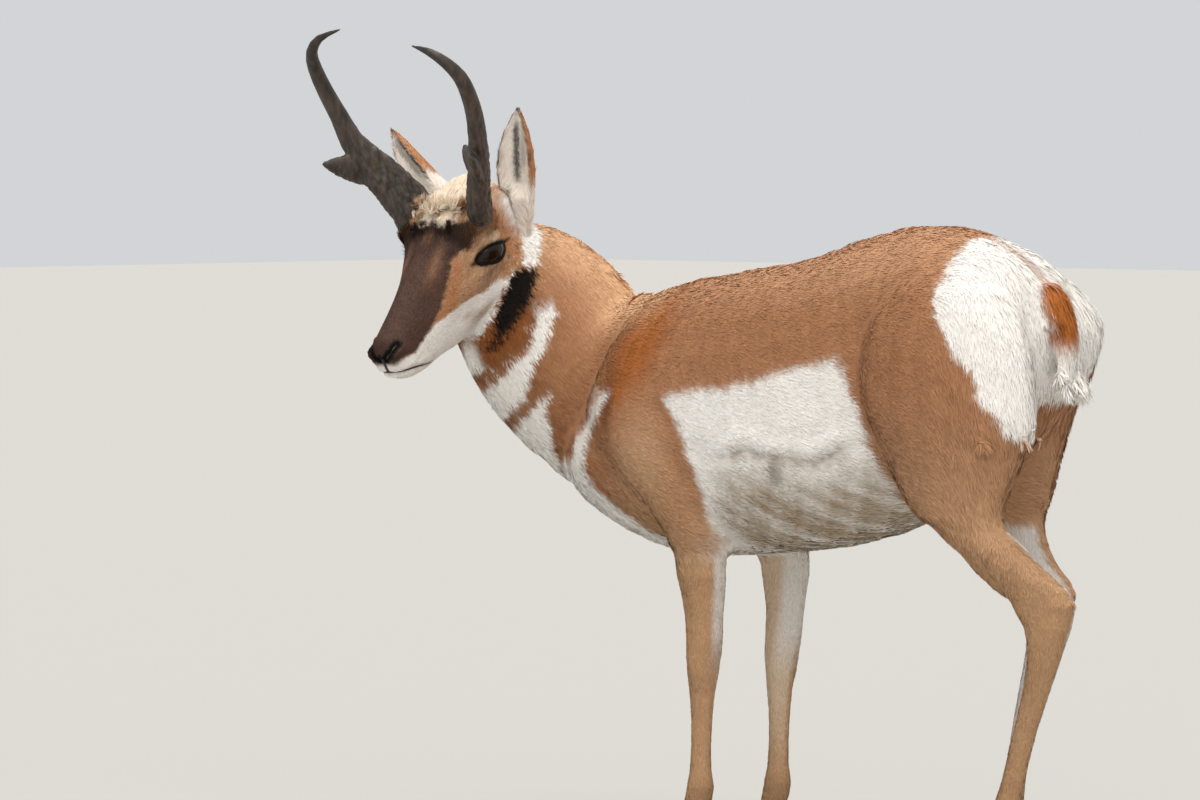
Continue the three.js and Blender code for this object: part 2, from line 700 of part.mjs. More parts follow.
// The long white hair of the rump hangs in lobes off the back of each thigh.
function rumpLocks() {
  const locks = [];
  for (const [side, shift, forward] of [[-1, 0, 0.1], [1, -92, 0.5]]) {
    for (let k = 0; k < 6; k += 1) {
      const turn = radians(-42 + 17 * k);
      const out = point(Math.cos(turn), -Math.sin(turn), 0);
      const root = point(352 + shift + 147 * out.x, side * 88 + 71 * out.y, 655 - (k % 2) * 22);
      const lie = point(-forward, 0, -1);
      locks.push(makeLock({ root, lie, out, length: draw(48, 58), width: draw(21, 27), rise: 11 }));
    }
  }
  return locks;
}

function tailLocks() {
  const locks = [];
  for (let k = 0; k < 6; k += 1) {
    const aside = -15 + 6 * k;
    const root = point(493 - Math.abs(aside) * 0.35, aside, 730 - (k % 2) * 16);
    const out = point(1, aside / 30, 0);
    locks.push(makeLock({ root, lie: point(0.06, aside / 110, -1), out, length: draw(52, 60), width: 12, rise: 7 }));
  }
  return locks;
}

// Putting it together

const coat = 0xa9784f;
const pale = 0xe6dfd6;
const hornDark = 0x2b2724;
const hoofDark = 0x1f1c1a;
const eyeDark = 0x0d0b0a;

const looks = {};
const solids = {};

function add(name, solid, colour, roughness) {
  solids[name] = largest(solid);
  looks[name] = { colour, roughness };
}

const toWorld = (geometry) => geometry.applyMatrix4(headPlace);

function centreOf(solid) {
  const box = solid.boundingBox();
  return point(...box.min).add(point(...box.max)).divideScalar(2);
}

// The piece whose box centre lies nearest to a place.
function pieceNear(pieces, place) {
  const far = (solid) => centreOf(solid).distanceTo(place);
  return [...pieces].sort((a, b) => far(a) - far(b))[0];
}

function levelCut(x, y, z, long, wide) {
  const box = new THREE.BoxGeometry(long, wide, gap);
  box.translate(x, y, z);
  return solidOf(box);
}

const legs = {
  foreleg_left: makeLeg(frontLeft),
  foreleg_right: makeLeg(frontRight),
  hindleg_left: makeLeg(backLeft),
  hindleg_right: makeLeg(backRight),
};
const trunk = makeTrunk();
const neck = makeNeck();
const skull = toWorld(makeSkull());
const skullClear = swollen(skull, gap);

let flesh = joined([solidOf(trunk), solidOf(neck), ...Object.values(legs).map(solidOf)]);
for (const side of [-1, 1]) {
  flesh = flesh.subtract(levelCut(-115, side * 90, elbowLevel, 220, 110));
  flesh = flesh.subtract(levelCut(380, side * 108, stifleLevel, 330, 104));
}
flesh = flesh.subtract(slab(point(...neckCut), point(...neckCutNormal), 700));
const pieces = flesh.decompose().filter((solid) => solid.volume() > 1e4);

const torso = joined([pieceNear(pieces, point(50, 0, 640)), ...rumpLocks()]);
const earShapes = { left: makeEar(1), right: makeEar(-1) };
let neckSolid = pieceNear(pieces, point(-440, -60, 760)).subtract(skullClear);
neckSolid = joined([neckSolid, ...maneLocks()]).subtract(skullClear);
for (const ear of Object.values(earShapes)) neckSolid = neckSolid.subtract(swollen(ear, gap));
for (const side of [-1, 1]) {
  neckSolid = neckSolid.subtract(solidOf(toWorld(eyeBall(side, eyeRadius + lidThickness + gap))));
}
add('torso', torso, coat, 0.95);
add('neck', neckSolid, coat, 0.95);
add('foreleg_left', pieceNear(pieces, point(-110, -80, 230)), coat, 0.95);
add('foreleg_right', pieceNear(pieces, point(-100, 80, 230)), coat, 0.95);
add('hindleg_left', pieceNear(pieces, point(470, -95, 260)), coat, 0.95);
add('hindleg_right', pieceNear(pieces, point(330, 95, 260)), coat, 0.95);
add('head', makeHead(), coat, 0.9);

for (const [name, side] of [['left', 1], ['right', -1]]) {
  const lids = solidOf(toWorld(eyeBall(side, eyeRadius + lidThickness + gap)));
  add(`horn_${name}`, makeHorn(side).subtract(skullClear).subtract(lids), hornDark, 0.6);
  add(`ear_${name}`, solidOf(earShapes[name]).subtract(skullClear), coat, 0.9);
  add(`eye_${name}`, solidOf(toWorld(eyeBall(side, eyeRadius))), eyeDark, 0.1);
}

const trunkClear = swollen(trunk, gap);
let tail = solidOf(makeTail()).subtract(trunkClear);
for (const leg of [legs.hindleg_left, legs.hindleg_right]) tail = tail.subtract(swollen(leg, gap));
add('tail', joined([tail, ...tailLocks()]).subtract(trunkClear), coat, 0.95);

for (const [name, row] of Object.entries({
  foreleg_left: frontLeft, foreleg_right: frontRight, hindleg_left: backLeft, hindleg_right: backRight,
})) {
  const end = row[row.length - 1];
  const foot = { x: (end.front + end.back) / 2, y: end.y };
  for (const [toe, side] of [['near', -1], ['far', 1]]) {
    add(`${name.replace('leg', 'hoof')}_${toe}`, solidOf(makeToe(foot, side)), hoofDark, 0.5);
  }
}

const model = new THREE.Group();
model.name = 'pronghorn';
const whole = new THREE.Box3();
for (const [name, solid] of Object.entries(solids)) {
  const { colour, roughness } = looks[name];
  const mesh = new THREE.Mesh(
    geometryOf(solid),
    new THREE.MeshStandardMaterial({ color: colour, roughness, metalness: 0 }),
  );
  mesh.name = name;
  model.add(mesh);
  whole.expandByObject(mesh);
}

// The middle of the underside is the origin.
const middle = whole.getCenter(point(0, 0, 0));
for (const mesh of model.children) mesh.geometry.translate(-middle.x, -middle.y, -whole.min.z);

export default model;
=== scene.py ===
import json
import math

import bmesh
import bpy
import numpy as np
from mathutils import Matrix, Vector
from mathutils.bvhtree import BVHTree
from mathutils.kdtree import KDTree

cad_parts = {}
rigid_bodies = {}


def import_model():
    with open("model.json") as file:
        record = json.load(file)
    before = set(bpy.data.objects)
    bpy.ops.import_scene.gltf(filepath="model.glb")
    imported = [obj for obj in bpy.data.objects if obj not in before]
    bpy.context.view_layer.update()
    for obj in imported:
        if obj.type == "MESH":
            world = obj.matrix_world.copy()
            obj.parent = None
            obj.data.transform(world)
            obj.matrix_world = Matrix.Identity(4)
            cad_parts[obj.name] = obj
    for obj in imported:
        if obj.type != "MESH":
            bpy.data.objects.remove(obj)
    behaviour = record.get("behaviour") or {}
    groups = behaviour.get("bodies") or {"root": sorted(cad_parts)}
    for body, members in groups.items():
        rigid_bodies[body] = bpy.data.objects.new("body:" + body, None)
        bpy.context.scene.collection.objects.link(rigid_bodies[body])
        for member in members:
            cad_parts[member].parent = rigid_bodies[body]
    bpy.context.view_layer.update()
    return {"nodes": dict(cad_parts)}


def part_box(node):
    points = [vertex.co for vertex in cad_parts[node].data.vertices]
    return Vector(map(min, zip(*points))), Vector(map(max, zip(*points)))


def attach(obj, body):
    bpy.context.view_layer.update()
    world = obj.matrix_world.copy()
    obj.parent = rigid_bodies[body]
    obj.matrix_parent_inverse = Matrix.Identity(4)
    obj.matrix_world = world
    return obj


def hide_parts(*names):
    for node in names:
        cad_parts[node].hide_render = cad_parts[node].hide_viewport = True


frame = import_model()
rng = np.random.default_rng(11)

# The shapes' own frame: the ground at zero, the animal's forward along -X, its left side along -Y, in metres.
hoofLow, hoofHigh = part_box("forehoof_left_near")
hoofMiddle = (np.array(hoofLow) + np.array(hoofHigh)) / 2
shift = np.array([hoofMiddle[0] + 0.146875, hoofMiddle[1] + 0.0848, 0.0])

fleshNodes = ["torso", "neck", "head", "foreleg_left", "foreleg_right", "hindleg_left", "hindleg_right", "tail"]


def tone(r, g, b):
    c = np.array([r, g, b]) / 255
    return np.where(c <= 0.04045, c / 12.92, ((c + 0.055) / 1.055) ** 2.4)


def unit(v):
    return v / np.maximum(np.linalg.norm(v, axis=-1, keepdims=True), 1e-9)


def smooth(x, low, high):
    t = np.clip((x - low) / (high - low), 0, 1)
    return t * t * (3 - 2 * t)


def deselectAll():
    for o in bpy.context.view_layer.objects:
        o.select_set(False)
    bpy.context.view_layer.objects.active = None


def link(piece):
    bpy.context.scene.collection.objects.link(piece)
    return piece


def applyModifier(piece, kind, **values):
    deselectAll()
    piece.select_set(True)
    bpy.context.view_layer.objects.active = piece
    modifier = piece.modifiers.new(kind, kind)
    for key, value in values.items():
        setattr(modifier, key, value)
    bpy.ops.object.modifier_apply(modifier=modifier.name)


def verticesOf(mesh):
    out = np.empty(len(mesh.vertices) * 3)
    mesh.vertices.foreach_get("co", out)
    return out.reshape(-1, 3)


def setVertices(mesh, points):
    mesh.vertices.foreach_set("co", np.ascontiguousarray(points, dtype=np.float64).ravel())
    mesh.update()


def trianglesOf(mesh):
    mesh.calc_loop_triangles()
    out = np.empty(len(mesh.loop_triangles) * 3, dtype=np.int64)
    mesh.loop_triangles.foreach_get("vertices", out)
    return out.reshape(-1, 3)


def edgesOf(mesh):
    out = np.empty(len(mesh.edges) * 2, dtype=np.int64)
    mesh.edges.foreach_get("vertices", out)
    return out.reshape(-1, 2)


def vertexNormals(points, triangles):
    a, b, c = points[triangles[:, 0]], points[triangles[:, 1]], points[triangles[:, 2]]
    face = np.cross(b - a, c - a)
    out = np.zeros_like(points)
    for corner in range(3):
        for axis in range(3):
            out[:, axis] += np.bincount(triangles[:, corner], face[:, axis], len(points))
    return unit(out)


def meshFrom(name, points, triangles):
    mesh = bpy.data.meshes.new(name)
    mesh.vertices.add(len(points))
    mesh.vertices.foreach_set("co", np.ascontiguousarray(points, dtype=np.float32).ravel())
    mesh.loops.add(len(triangles) * 3)
    mesh.loops.foreach_set("vertex_index", np.ascontiguousarray(triangles, dtype=np.int32).ravel())
    mesh.polygons.add(len(triangles))
    mesh.polygons.foreach_set("loop_start", np.arange(0, len(triangles) * 3, 3, dtype=np.int32))
    mesh.update(calc_edges=True)
    mesh.polygons.foreach_set("use_smooth", np.ones(len(triangles), dtype=bool))
    mesh.update()
    return mesh


# evens a value out over neighbouring points
def relax(values, edges, count, rounds, weight=0.5):
    values = np.array(values, dtype=np.float64)
    flat = values.reshape(len(values), -1)
    near = np.bincount(edges[:, 0], minlength=count) + np.bincount(edges[:, 1], minlength=count)
    near = np.maximum(near, 1)[:, None]
    for _ in range(rounds):
        total = np.zeros_like(flat)
        for k in range(flat.shape[1]):
            total[:, k] += np.bincount(edges[:, 0], flat[edges[:, 1], k], count)
            total[:, k] += np.bincount(edges[:, 1], flat[edges[:, 0], k], count)
        flat = flat + (total / near - flat) * weight
    return flat.reshape(values.shape)


# places on the body, in millimetres

neckLine = np.array([
    (-215, 0, 612), (-329, 0, 639), (-394, -20, 669), (-427, -49, 719),
    (-446, -73, 758), (-468, -96, 793), (-487, -116, 822), (-494, -130, 846),
], dtype=float)
neckUp = np.array([
    (.24, 0, .97), (.45, 0, .89), (.6, .12, .8), (.5, .3, .81),
    (.45, .42, .78), (.42, .45, .79), (.5, .52, .69), (.58, .57, .58),
])
headCentre = np.array([-484.0, -202.0, 842.0])


def headAxes():
    turn, pitch, roll = np.radians([98, 41.6, 2])
    level = np.array([-math.cos(turn), -math.sin(turn), 0])
    left = np.array([-level[1], level[0], 0])
    ahead = level * math.cos(pitch) - np.array([0, 0, math.sin(pitch)])
    up = np.cross(ahead, left)
    rolled = np.array([[1, 0, 0], [0, math.cos(roll), -math.sin(roll)], [0, math.sin(roll), math.cos(roll)]])
    return np.stack([ahead, left, up], 1) @ rolled


headBasis = headAxes()


def toHead(p):
    return (p - headCentre) @ headBasis


def fromHead(local):
    return headCentre + np.asarray(local, dtype=float) @ headBasis.T


# how far up the neck a place lies, how far round it, and the way the neck runs there
def neckPlace(p):
    best = np.full(len(p), 1e9)
    t = np.zeros(len(p))
    angle = np.zeros(len(p))
    along = np.zeros((len(p), 3))
    for i in range(len(neckLine) - 1):
        a, d = neckLine[i], neckLine[i + 1] - neckLine[i]
        s = np.clip((p - a) @ d / (d @ d), 0, 1)
        away = p - (a + s[:, None] * d)
        far = np.linalg.norm(away, axis=1)
        ahead = d / np.linalg.norm(d)
        up = neckUp[i] * (1 - s[:, None]) + neckUp[i + 1] * s[:, None]
        up = unit(up - ahead * (up @ ahead)[:, None])
        side = np.cross(ahead, up)
        here = np.degrees(np.arctan2((away * side).sum(1), (away * up).sum(1)))
        better = far < best
        best = np.where(better, far, best)
        t = np.where(better, i + s, t)
        angle = np.where(better, here, angle)
        along = np.where(better[:, None], ahead, along)
    return t, angle, along


def wobble(p, size, seed):
    f = 2 * math.pi / size
    a = np.sin(p[:, 0] * f + seed) * np.sin(p[:, 1] * f * 1.13 + seed * 2.1) * 1.2
    b = np.sin(p[:, 2] * f * 0.91 + p[:, 0] * f * 0.5 + seed * 3.7)
    c = np.sin((p[:, 0] - p[:, 1] + p[:, 2]) * f * 1.9 + seed)
    return (a + b + 0.6 * c) / 2.2


# 1 inside an outline and 0 outside it, with a soft edge
def inside(x, y, outline, soft):
    q = np.stack([x, y], 1)
    corners = np.array(outline, dtype=float)
    far = np.full(len(q), 1e9)
    odd = np.zeros(len(q), dtype=bool)
    for a, b in zip(corners, np.roll(corners, -1, axis=0)):
        d = b - a
        s = np.clip((q - a) @ d / max(d @ d, 1e-9), 0, 1)
        far = np.minimum(far, np.linalg.norm(q - (a + s[:, None] * d), axis=1))
        crosses = (a[1] > q[:, 1]) != (b[1] > q[:, 1])
        reach = a[0] + (q[:, 1] - a[1]) * d[0] / (d[1] if abs(d[1]) > 1e-9 else 1e-9)
        odd ^= crosses & (q[:, 0] < reach)
    signed = np.where(odd, far, -far)
    return smooth(signed, -soft, soft)


def blob(p, centre, sizes):
    away = (p - np.array(centre, dtype=float)) / np.array(sizes, dtype=float)
    return np.exp(-(away * away).sum(1) * 1.4)


eyeShape = {"place": (-18, 50, -13), "ball": 25.3, "ahead": 46.0, "long": 24.0, "longAhead": 27.5, "tall": 12.8,
            "facing": 25, "tilt": 21}


def eyeFrame(side):
    facing, tilt = math.radians(eyeShape["facing"]), math.radians(eyeShape["tilt"])
    face = np.array([math.sin(facing), side * math.cos(facing), 0])
    level = np.array([math.cos(facing), -side * math.sin(facing), 0])
    high = np.array([0, 0, 1.0])
    along = level * math.cos(tilt) + high * math.sin(tilt)
    up = -level * math.sin(tilt) + high * math.cos(tilt)
    x, y, z = eyeShape["place"]
    return np.array([x, side * y, z], dtype=float), face, along, up


def toEye(local, side):
    centre, face, along, up = eyeFrame(side)
    away = local - centre
    return away @ along, away @ up, away @ face


mouthLine = np.array([(215, 0, -31), (212, 13, -34), (203, 22, -38), (193, 26, -43), (179, 25, -52),
                      (164, 22.5, -63), (150, 19, -72)], dtype=float)


def farFromLine(local, line):
    q = np.stack([local[:, 0], np.abs(local[:, 1]), local[:, 2]], 1)
    best = np.full(len(q), 1e9)
    for a, b in zip(line[:-1], line[1:]):
        d = b - a
        t = np.clip((q - a) @ d / (d @ d), 0, 1)
        best = np.minimum(best, np.linalg.norm(q - (a + t[:, None] * d), axis=1))
    return best


# the coat's colours and where they lie

coatTone = {
    "tan": tone(172, 122, 87),
    # painted highlight along the top of the back
    "paintedBackHighlight": tone(200, 152, 116),
    "neckTan": tone(166, 117, 82),
    "rust": tone(164, 92, 34),
    "dark": tone(94, 48, 20),
    "jaw": tone(140, 84, 44),
    "white": tone(243, 239, 233),
    # greyer brown below the shelf line
    "bellyGreyBrown": tone(158, 134, 100),
    "legTan": tone(184, 145, 109),
    "armTan": tone(196, 157, 122),
    "mask": tone(80, 59, 50),
    "maskDark": tone(30, 18, 11),
    "cheek": tone(184, 144, 110),
    "black": tone(18, 12, 9),
    "cream": tone(236, 219, 196),
    "brow": tone(182, 124, 76),
    "tail": tone(184, 108, 50),
}

# outlines of the markings: sideways and up on body and head, along and round on the neck
patches = {
    "flank": [(-135, 648), (-60, 659), (9, 665), (73, 682), (125, 695), (175, 705), (190, 690), (199, 669),
              (211, 643), (220, 609), (232, 568), (241, 534), (250, 480), (250, 380), (-40, 380), (-68, 442),
              (-77, 477), (-77, 511), (-81, 546), (-97, 580), (-119, 614)],
    "breast": [(-260, 648), (-283, 616), (-311, 581), (-324, 538), (-311, 510), (-277, 490), (-238, 460),
               (-198, 440), (-170, 395), (-230, 380), (-450, 420), (-440, 520), (-420, 560), (-385, 600),
               (-345, 640), (-300, 668)],
    "rump": [(343, 877), (345, 847), (343, 827), (352, 807), (371, 768), (403, 728), (436, 695), (462, 656),
             (478, 622), (492, 606), (508, 592), (530, 584), (560, 582), (560, 930), (343, 930)],
    "crescent": [(3.98, 66), (3.74, 69), (3.39, 84), (3.12, 99), (2.75, 119), (2.49, 136), (2.5, 190),
                 (3.15, 190), (3.18, 158), (3.23, 148), (3.35, 130), (3.42, 111), (3.71, 97), (4.0, 86)],
    "triangle": [(2.22, 106), (2.24, 129), (2.2, 150), (2.16, 190), (1.5, 190), (1.6, 156), (1.86, 131)],
    "band": [(0.3, 76), (0.45, 78), (0.6, 95), (0.88, 115), (1.15, 132), (1.5, 150), (1.7, 190),
             (-0.2, 190), (-0.1, 152), (0.27, 146), (0.59, 142), (0.72, 132), (0.68, 115), (0.48, 95)],
    "mask": [(230, -8), (209, -14), (179, -27), (139, -24), (97, -14), (67, 5), (45, 21), (26, 21), (15, 17),
             (6, 22), (-4, 34), (-6, 90), (230, 90)],
    "cheekWhite": [(230, -12), (205, -17), (179, -27), (139, -24), (122, -26), (103, -31), (69, -37), (48, -42),
                   (23, -51), (5, -60), (-8, -60), (-26, -58), (-20, -61), (4, -67), (20, -76), (33, -90),
                   (46, -105), (59, -118), (68, -130), (100, -150), (230, -120)],
    "blackPatch": [(-34, -61), (-14, -62), (6, -70), (22, -82), (31, -94), (38, -105), (48, -118), (60, -133),
                   (57, -134), (43, -121), (28, -111), (15, -105), (4, -99), (-11, -90), (-27, -82), (-45, -71)],
    "earStrip": [(-128, -6), (-108, 0), (-92, -25), (-70, -43), (-41, -58), (-36, -66), (-49, -69), (-74, -60),
                 (-104, -56), (-130, -40)],
    "rustJaw": [(16, -84), (32, -94), (46, -105), (59, -118), (68, -130), (80, -152), (54, -150), (28, -128),
                (8, -106)],
}


def faceCheeks(colour, q, xs, zs, p):
    x, y, _ = q.T
    mottle = np.clip(wobble(p, 9, 6.1) * 0.5 + wobble(p, 4.5, 2.4) * 0.4, -1, 1)
    colour = mix(colour, coatTone["cheek"], np.ones(len(p)))
    colour = mix(colour, tone(140, 104, 78), smooth(mottle, 0, 0.8) * 0.4)
    brow = blob(q, (-52, 60, -8), (34, 30, 34))
    colour = mix(colour, coatTone["brow"], np.clip(brow * 1.5, 0, 1) * 0.9)
    colour = mix(colour, coatTone["brow"], smooth(-x, 20, 50) * smooth(y, 20, 50) * 0.6)
    edge = inside(xs, zs, [(150, -26), (97, -14), (62, 8), (34, 26), (44, 2), (80, -30), (110, -34), (140, -28)], 5)
    colour = mix(colour, tone(176, 116, 74), edge * 0.65)
    grey = blob(q, (20, 60, -40), (26, 30, 9))
    colour = mix(colour, tone(150, 122, 100), np.clip(grey * 0.9, 0, 0.7))
    colour = mix(colour, coatTone["white"], inside(xs, zs, patches["cheekWhite"], 2.6))
    # greyer patches low on the white cheek
    lowCheekGrey = blob(q, (41, 40, -78), (26, 40, 13)) + 0.6 * blob(q, (66, 36, -62), (14, 30, 7))
    colour = mix(colour, tone(160, 138, 106), np.clip(lowCheekGrey * 0.8, 0, 0.7))
    lipShade = blob(q, (186, 24, -38), (26, 14, 5))
    return mix(colour, tone(176, 166, 156), np.clip(lipShade * 0.5, 0, 0.5))


def faceMask(colour, q, xs, zs, p):
    x, y, z = q.T
    mask = inside(xs, zs, patches["mask"], 3.0)
    flecks = 0.5 * wobble(p, 7, 3.3) + 0.5 * wobble(p, 15, 1.9)
    shade = smooth(x, 80, 20) * 0.4 - 0.22 * blob(q, (60, 0, 40), (50, 16, 40)) + 0.14 * flecks
    maskTone = coatTone["mask"] * (1 - shade[:, None])
    colour = colour * (1 - mask[:, None]) + maskTone * mask[:, None]
    streak = blob(q, (66, 26, 34), (36, 8, 30)) * mask
    colour = mix(colour, tone(138, 100, 76), np.clip(streak * 0.8 + 0.2 * streak * flecks, 0, 0.7))
    band = smooth(x, -8, 2) * smooth(30 + 6 * flecks - x, 0, 16) * smooth(z, 14, 26)
    dark = band * (0.7 + 0.3 * smooth(y, 4, 14)) * np.clip(1 + 0.3 * flecks, 0, 1)
    colour = mix(colour, coatTone["maskDark"], np.clip(dark, 0, 0.95))
    return mix(colour, tone(132, 96, 70), blob(q, (26, 4, 48), (12, 6, 20)) * 0.5)


def faceAroundEye(colour, q):
    ex, ey, deep = toEye(q, 1)
    ring = np.sqrt((ex / np.where(ex > 0, 28, 24.5)) ** 2 + (ey / 13) ** 2)
    front = deep > 2
    under = np.exp(-(((ex + 2) / 24) ** 2 + ((ey + 20) / 5.5) ** 2)) * front
    colour = mix(colour, tone(208, 186, 160), np.clip(under * 1.0, 0, 0.8))
    over = np.exp(-(((ex + 1) / 19) ** 2 + ((ey - 21) / 4.5) ** 2)) * front
    colour = mix(colour, tone(212, 186, 156), np.clip(over, 0, 0.75))
    # painted shade in the fold above the upper lid
    lidCreaseShade = np.exp(-(((ex - 2) / 24) ** 2 + ((ey - 15.5) / 2.2) ** 2)) * front
    colour = mix(colour, tone(66, 44, 34), np.clip(lidCreaseShade, 0, 0.7))
    duct = np.exp(-(((ex - 33) / 9) ** 2 + ((ey + 3) / 4) ** 2)) * front
    colour = mix(colour, tone(30, 21, 18), np.clip(duct * 1.2, 0, 0.9))
    close = smooth(1.34 - ring, 0, 0.22) * front
    return mix(colour, tone(44, 31, 26), close * 0.85)


def faceNose(colour, q):
    x, y, z = q.T
    slit = farFromLine(q, nostrilLine)
    colour = mix(colour, tone(58, 42, 36), smooth(x, 186, 206) * smooth(z, -24, -16) * smooth(26 - y, -2, 8) * 0.7)
    colour = mix(colour, tone(22, 16, 15), smooth(8.5 - slit, 0, 3))
    slot = smooth(3.4 - y, 0, 1.8) * smooth(x, 205, 210) * smooth(z, -36, -32) * smooth(2 - z, 0, 4)
    colour = mix(colour, tone(22, 16, 15), slot)
    mouth = farFromLine(q, mouthLine)
    return mix(colour, tone(112, 88, 74), np.exp(-((mouth / 2.4) ** 2)) * 0.75)


def headColours(p, colour):
    local = toHead(p)
    x, y, z = local[:, 0], np.abs(local[:, 1]), local[:, 2]
    q = np.stack([x, y, z], 1)
    noise = wobble(p, 13, 1.3) * 1.6
    xs, zs = x + noise, z + noise * 0.8
    colour = faceCheeks(colour, q, xs, zs, p)
    colour = faceMask(colour, q, xs, zs, p)
    cream = smooth(-xs, 1, 8) * smooth(34 + noise * 2 - y, -3, 5) * smooth(z, 16, 36)
    tip = smooth(14 - np.abs(y - 14), 0, 10) * smooth(8 - xs, 0, 8) * smooth(z, 20, 40)
    colour = mix(colour, coatTone["cream"], np.clip(cream + tip * 0.8, 0, 1))
    strands = smooth(wobble(p * (1, 1, 0.6), 10, 4.4), 0.35, 0.9) * cream
    colour = mix(colour, tone(150, 106, 74), strands * 0.55)
    hornFoot = blob(q, (-16, 56, 22), (26, 26, 20)) * (1 - cream)
    colour = mix(colour, tone(110, 72, 46), np.clip(hornFoot * 0.9, 0, 0.8))
    colour = faceAroundEye(colour, q)
    earBase = blob(q, (-90, 62, -8), (27, 26, 34))
    ragged = 1.5 + 0.7 * wobble(p, 11, 5.5)
    colour = mix(colour, coatTone["white"], np.clip(earBase * ragged, 0, 1))
    colour = mix(colour, coatTone["jaw"], inside(xs, zs, patches["rustJaw"], 4) * 0.9 * smooth(y, 5, 30))
    colour = mix(colour, coatTone["black"], inside(xs, zs, patches["blackPatch"], 2.2) * smooth(y, 28, 46))
    colour = mix(colour, coatTone["white"], inside(xs, zs, patches["earStrip"], 2.5) * smooth(y, 45, 55))
    return faceNose(colour, q)


def neckColours(p, colour):
    t, angle, _ = neckPlace(p)
    a = np.abs(angle)
    wave = wobble(p, 22, 0.7)
    ts, angles = t + wave * 0.035, a + wave * 2
    colour = mix(colour, coatTone["neckTan"], smooth(a, 20, 80) * smooth(t, 0, 0.9))
    # painted highlight: the top of the neck made paler, as if lit from above
    colour = mix(colour, tone(216, 172, 132), smooth(34 - a, -14, 22) * 0.85)
    collar = smooth(a, 90, 120) * smooth(t, 1.2, 1.9)
    colour = mix(colour, tone(140, 92, 60), collar * 0.6)
    gap = smooth(a, 60, 90) * smooth(t, 3.3, 3.8) * smooth(4.9 - t, 0, 0.7)
    colour = mix(colour, coatTone["dark"], gap * 0.55)
    reach = 38.0
    for name in ("crescent", "triangle", "band"):
        outline = [(u * reach, v) for u, v in patches[name]]
        colour = mix(colour, coatTone["white"], inside(ts * reach, angles, outline, 3.2))
    throat = smooth(a, 150, 164) * smooth(t, 3.55, 3.75) * smooth(5.4 - t, 0, 0.3)
    return mix(colour, coatTone["white"], throat)


def shelfLine(x):
    return 573 + 5 * np.sin(x / 31.0 + 0.6) + 3 * np.sin(x / 13.0) + 10 * smooth(x, 120, 200)


def torsoColours(p, colour):
    x, y, z = p[:, 0], np.abs(p[:, 1]), p[:, 2]
    wave = wobble(p, 26, 2.2) * 3 + wobble(p, 61, 1.1) * 4 + wobble(p, 9, 3.3) * 1.2
    xs, zs = x + wave, z + wave
    top = np.interp(x, [-330, -250, -120, 40, 200, 330, 420], [770, 826, 838, 842, 858, 884, 890])
    # painted highlight: the top of the back made paler, as if lit from above
    colour = mix(colour, coatTone["paintedBackHighlight"], smooth(z - top, -95, -15) * 0.85)
    colour = mix(colour, coatTone["armTan"], np.clip(blob(np.stack([x, z], 1), (-182, 545), (58, 100)) * 1.1, 0, 0.9))
    rust = blob(np.stack([x, z], 1), (-206, 722), (48, 74))
    rust2 = blob(np.stack([x, z], 1), (-238, 668), (26, 50))
    colour = mix(colour, coatTone["rust"], np.clip(rust + rust2, 0, 0.8))
    dark = blob(np.stack([x, z], 1), (-250, 640), (15, 60))
    colour = mix(colour, coatTone["dark"], np.clip(dark, 0, 0.75))
    thigh, arm = smooth(x, 190, 290), smooth(-x, 50, 90) * smooth(x + 300, 0, 40)
    colour = mix(colour, coatTone["armTan"], smooth(z, 330, 440) * smooth(720 - z, 0, 220) * 0.5 * thigh)
    colour = mix(colour, coatTone["legTan"], smooth(570 - z, -50, 170) * (thigh + arm))
    colour = mix(colour, coatTone["white"], inside(xs, zs, patches["flank"], 9) * smooth(-x, -330, -280))
    colour = mix(colour, coatTone["white"], inside(xs, zs, patches["breast"], 5) * smooth(-x, 150, 190))
    below = smooth(470 - z, -20, 30) * smooth(60 - y, -60, 0) * smooth(x, -200, -120)
    colour = mix(colour, coatTone["white"], below * smooth(300 - x, -20, 40))
    fold = shelfLine(x)
    # greyer brown below the shelf line, over the lower flank towards the belly
    greyBelowShelf = smooth(fold - 8 - z, -10, 70) * smooth(x, -90, -10) * smooth(270 - x, -20, 60)
    cloud = 0.62 + 0.3 * wobble(p, 70, 4) + 0.18 * wobble(p, 31, 7)
    colour = mix(colour, coatTone["bellyGreyBrown"], np.clip(greyBelowShelf * cloud, 0, 0.85))
    # painted shadow: a thin darker band just below the shelf, where the hair above overhangs
    under = np.exp(-(((fold - 7 - z) / 7) ** 2)) * smooth(x, -40, 0) * smooth(206 - x, 0, 30)
    colour = mix(colour, tone(150, 132, 110), np.clip(under * (0.55 + 0.4 * wobble(p, 38, 1)), 0, 0.7))
    spot = blob(p, (70, -140, 545), (13, 60, 20))
    colour = mix(colour, tone(110, 90, 66), np.clip(spot, 0, 0.55))
    rump = inside(xs, zs, patches["rump"], 6)
    colour = mix(colour, coatTone["white"], rump)
    line = smooth(7.5 - y, -4, 3) * smooth(x, 335, 350) * smooth(z, 790, 805)
    return mix(colour, coatTone["brow"], line * np.clip(0.55 + 0.4 * wobble(p, 18, 5), 0, 1))


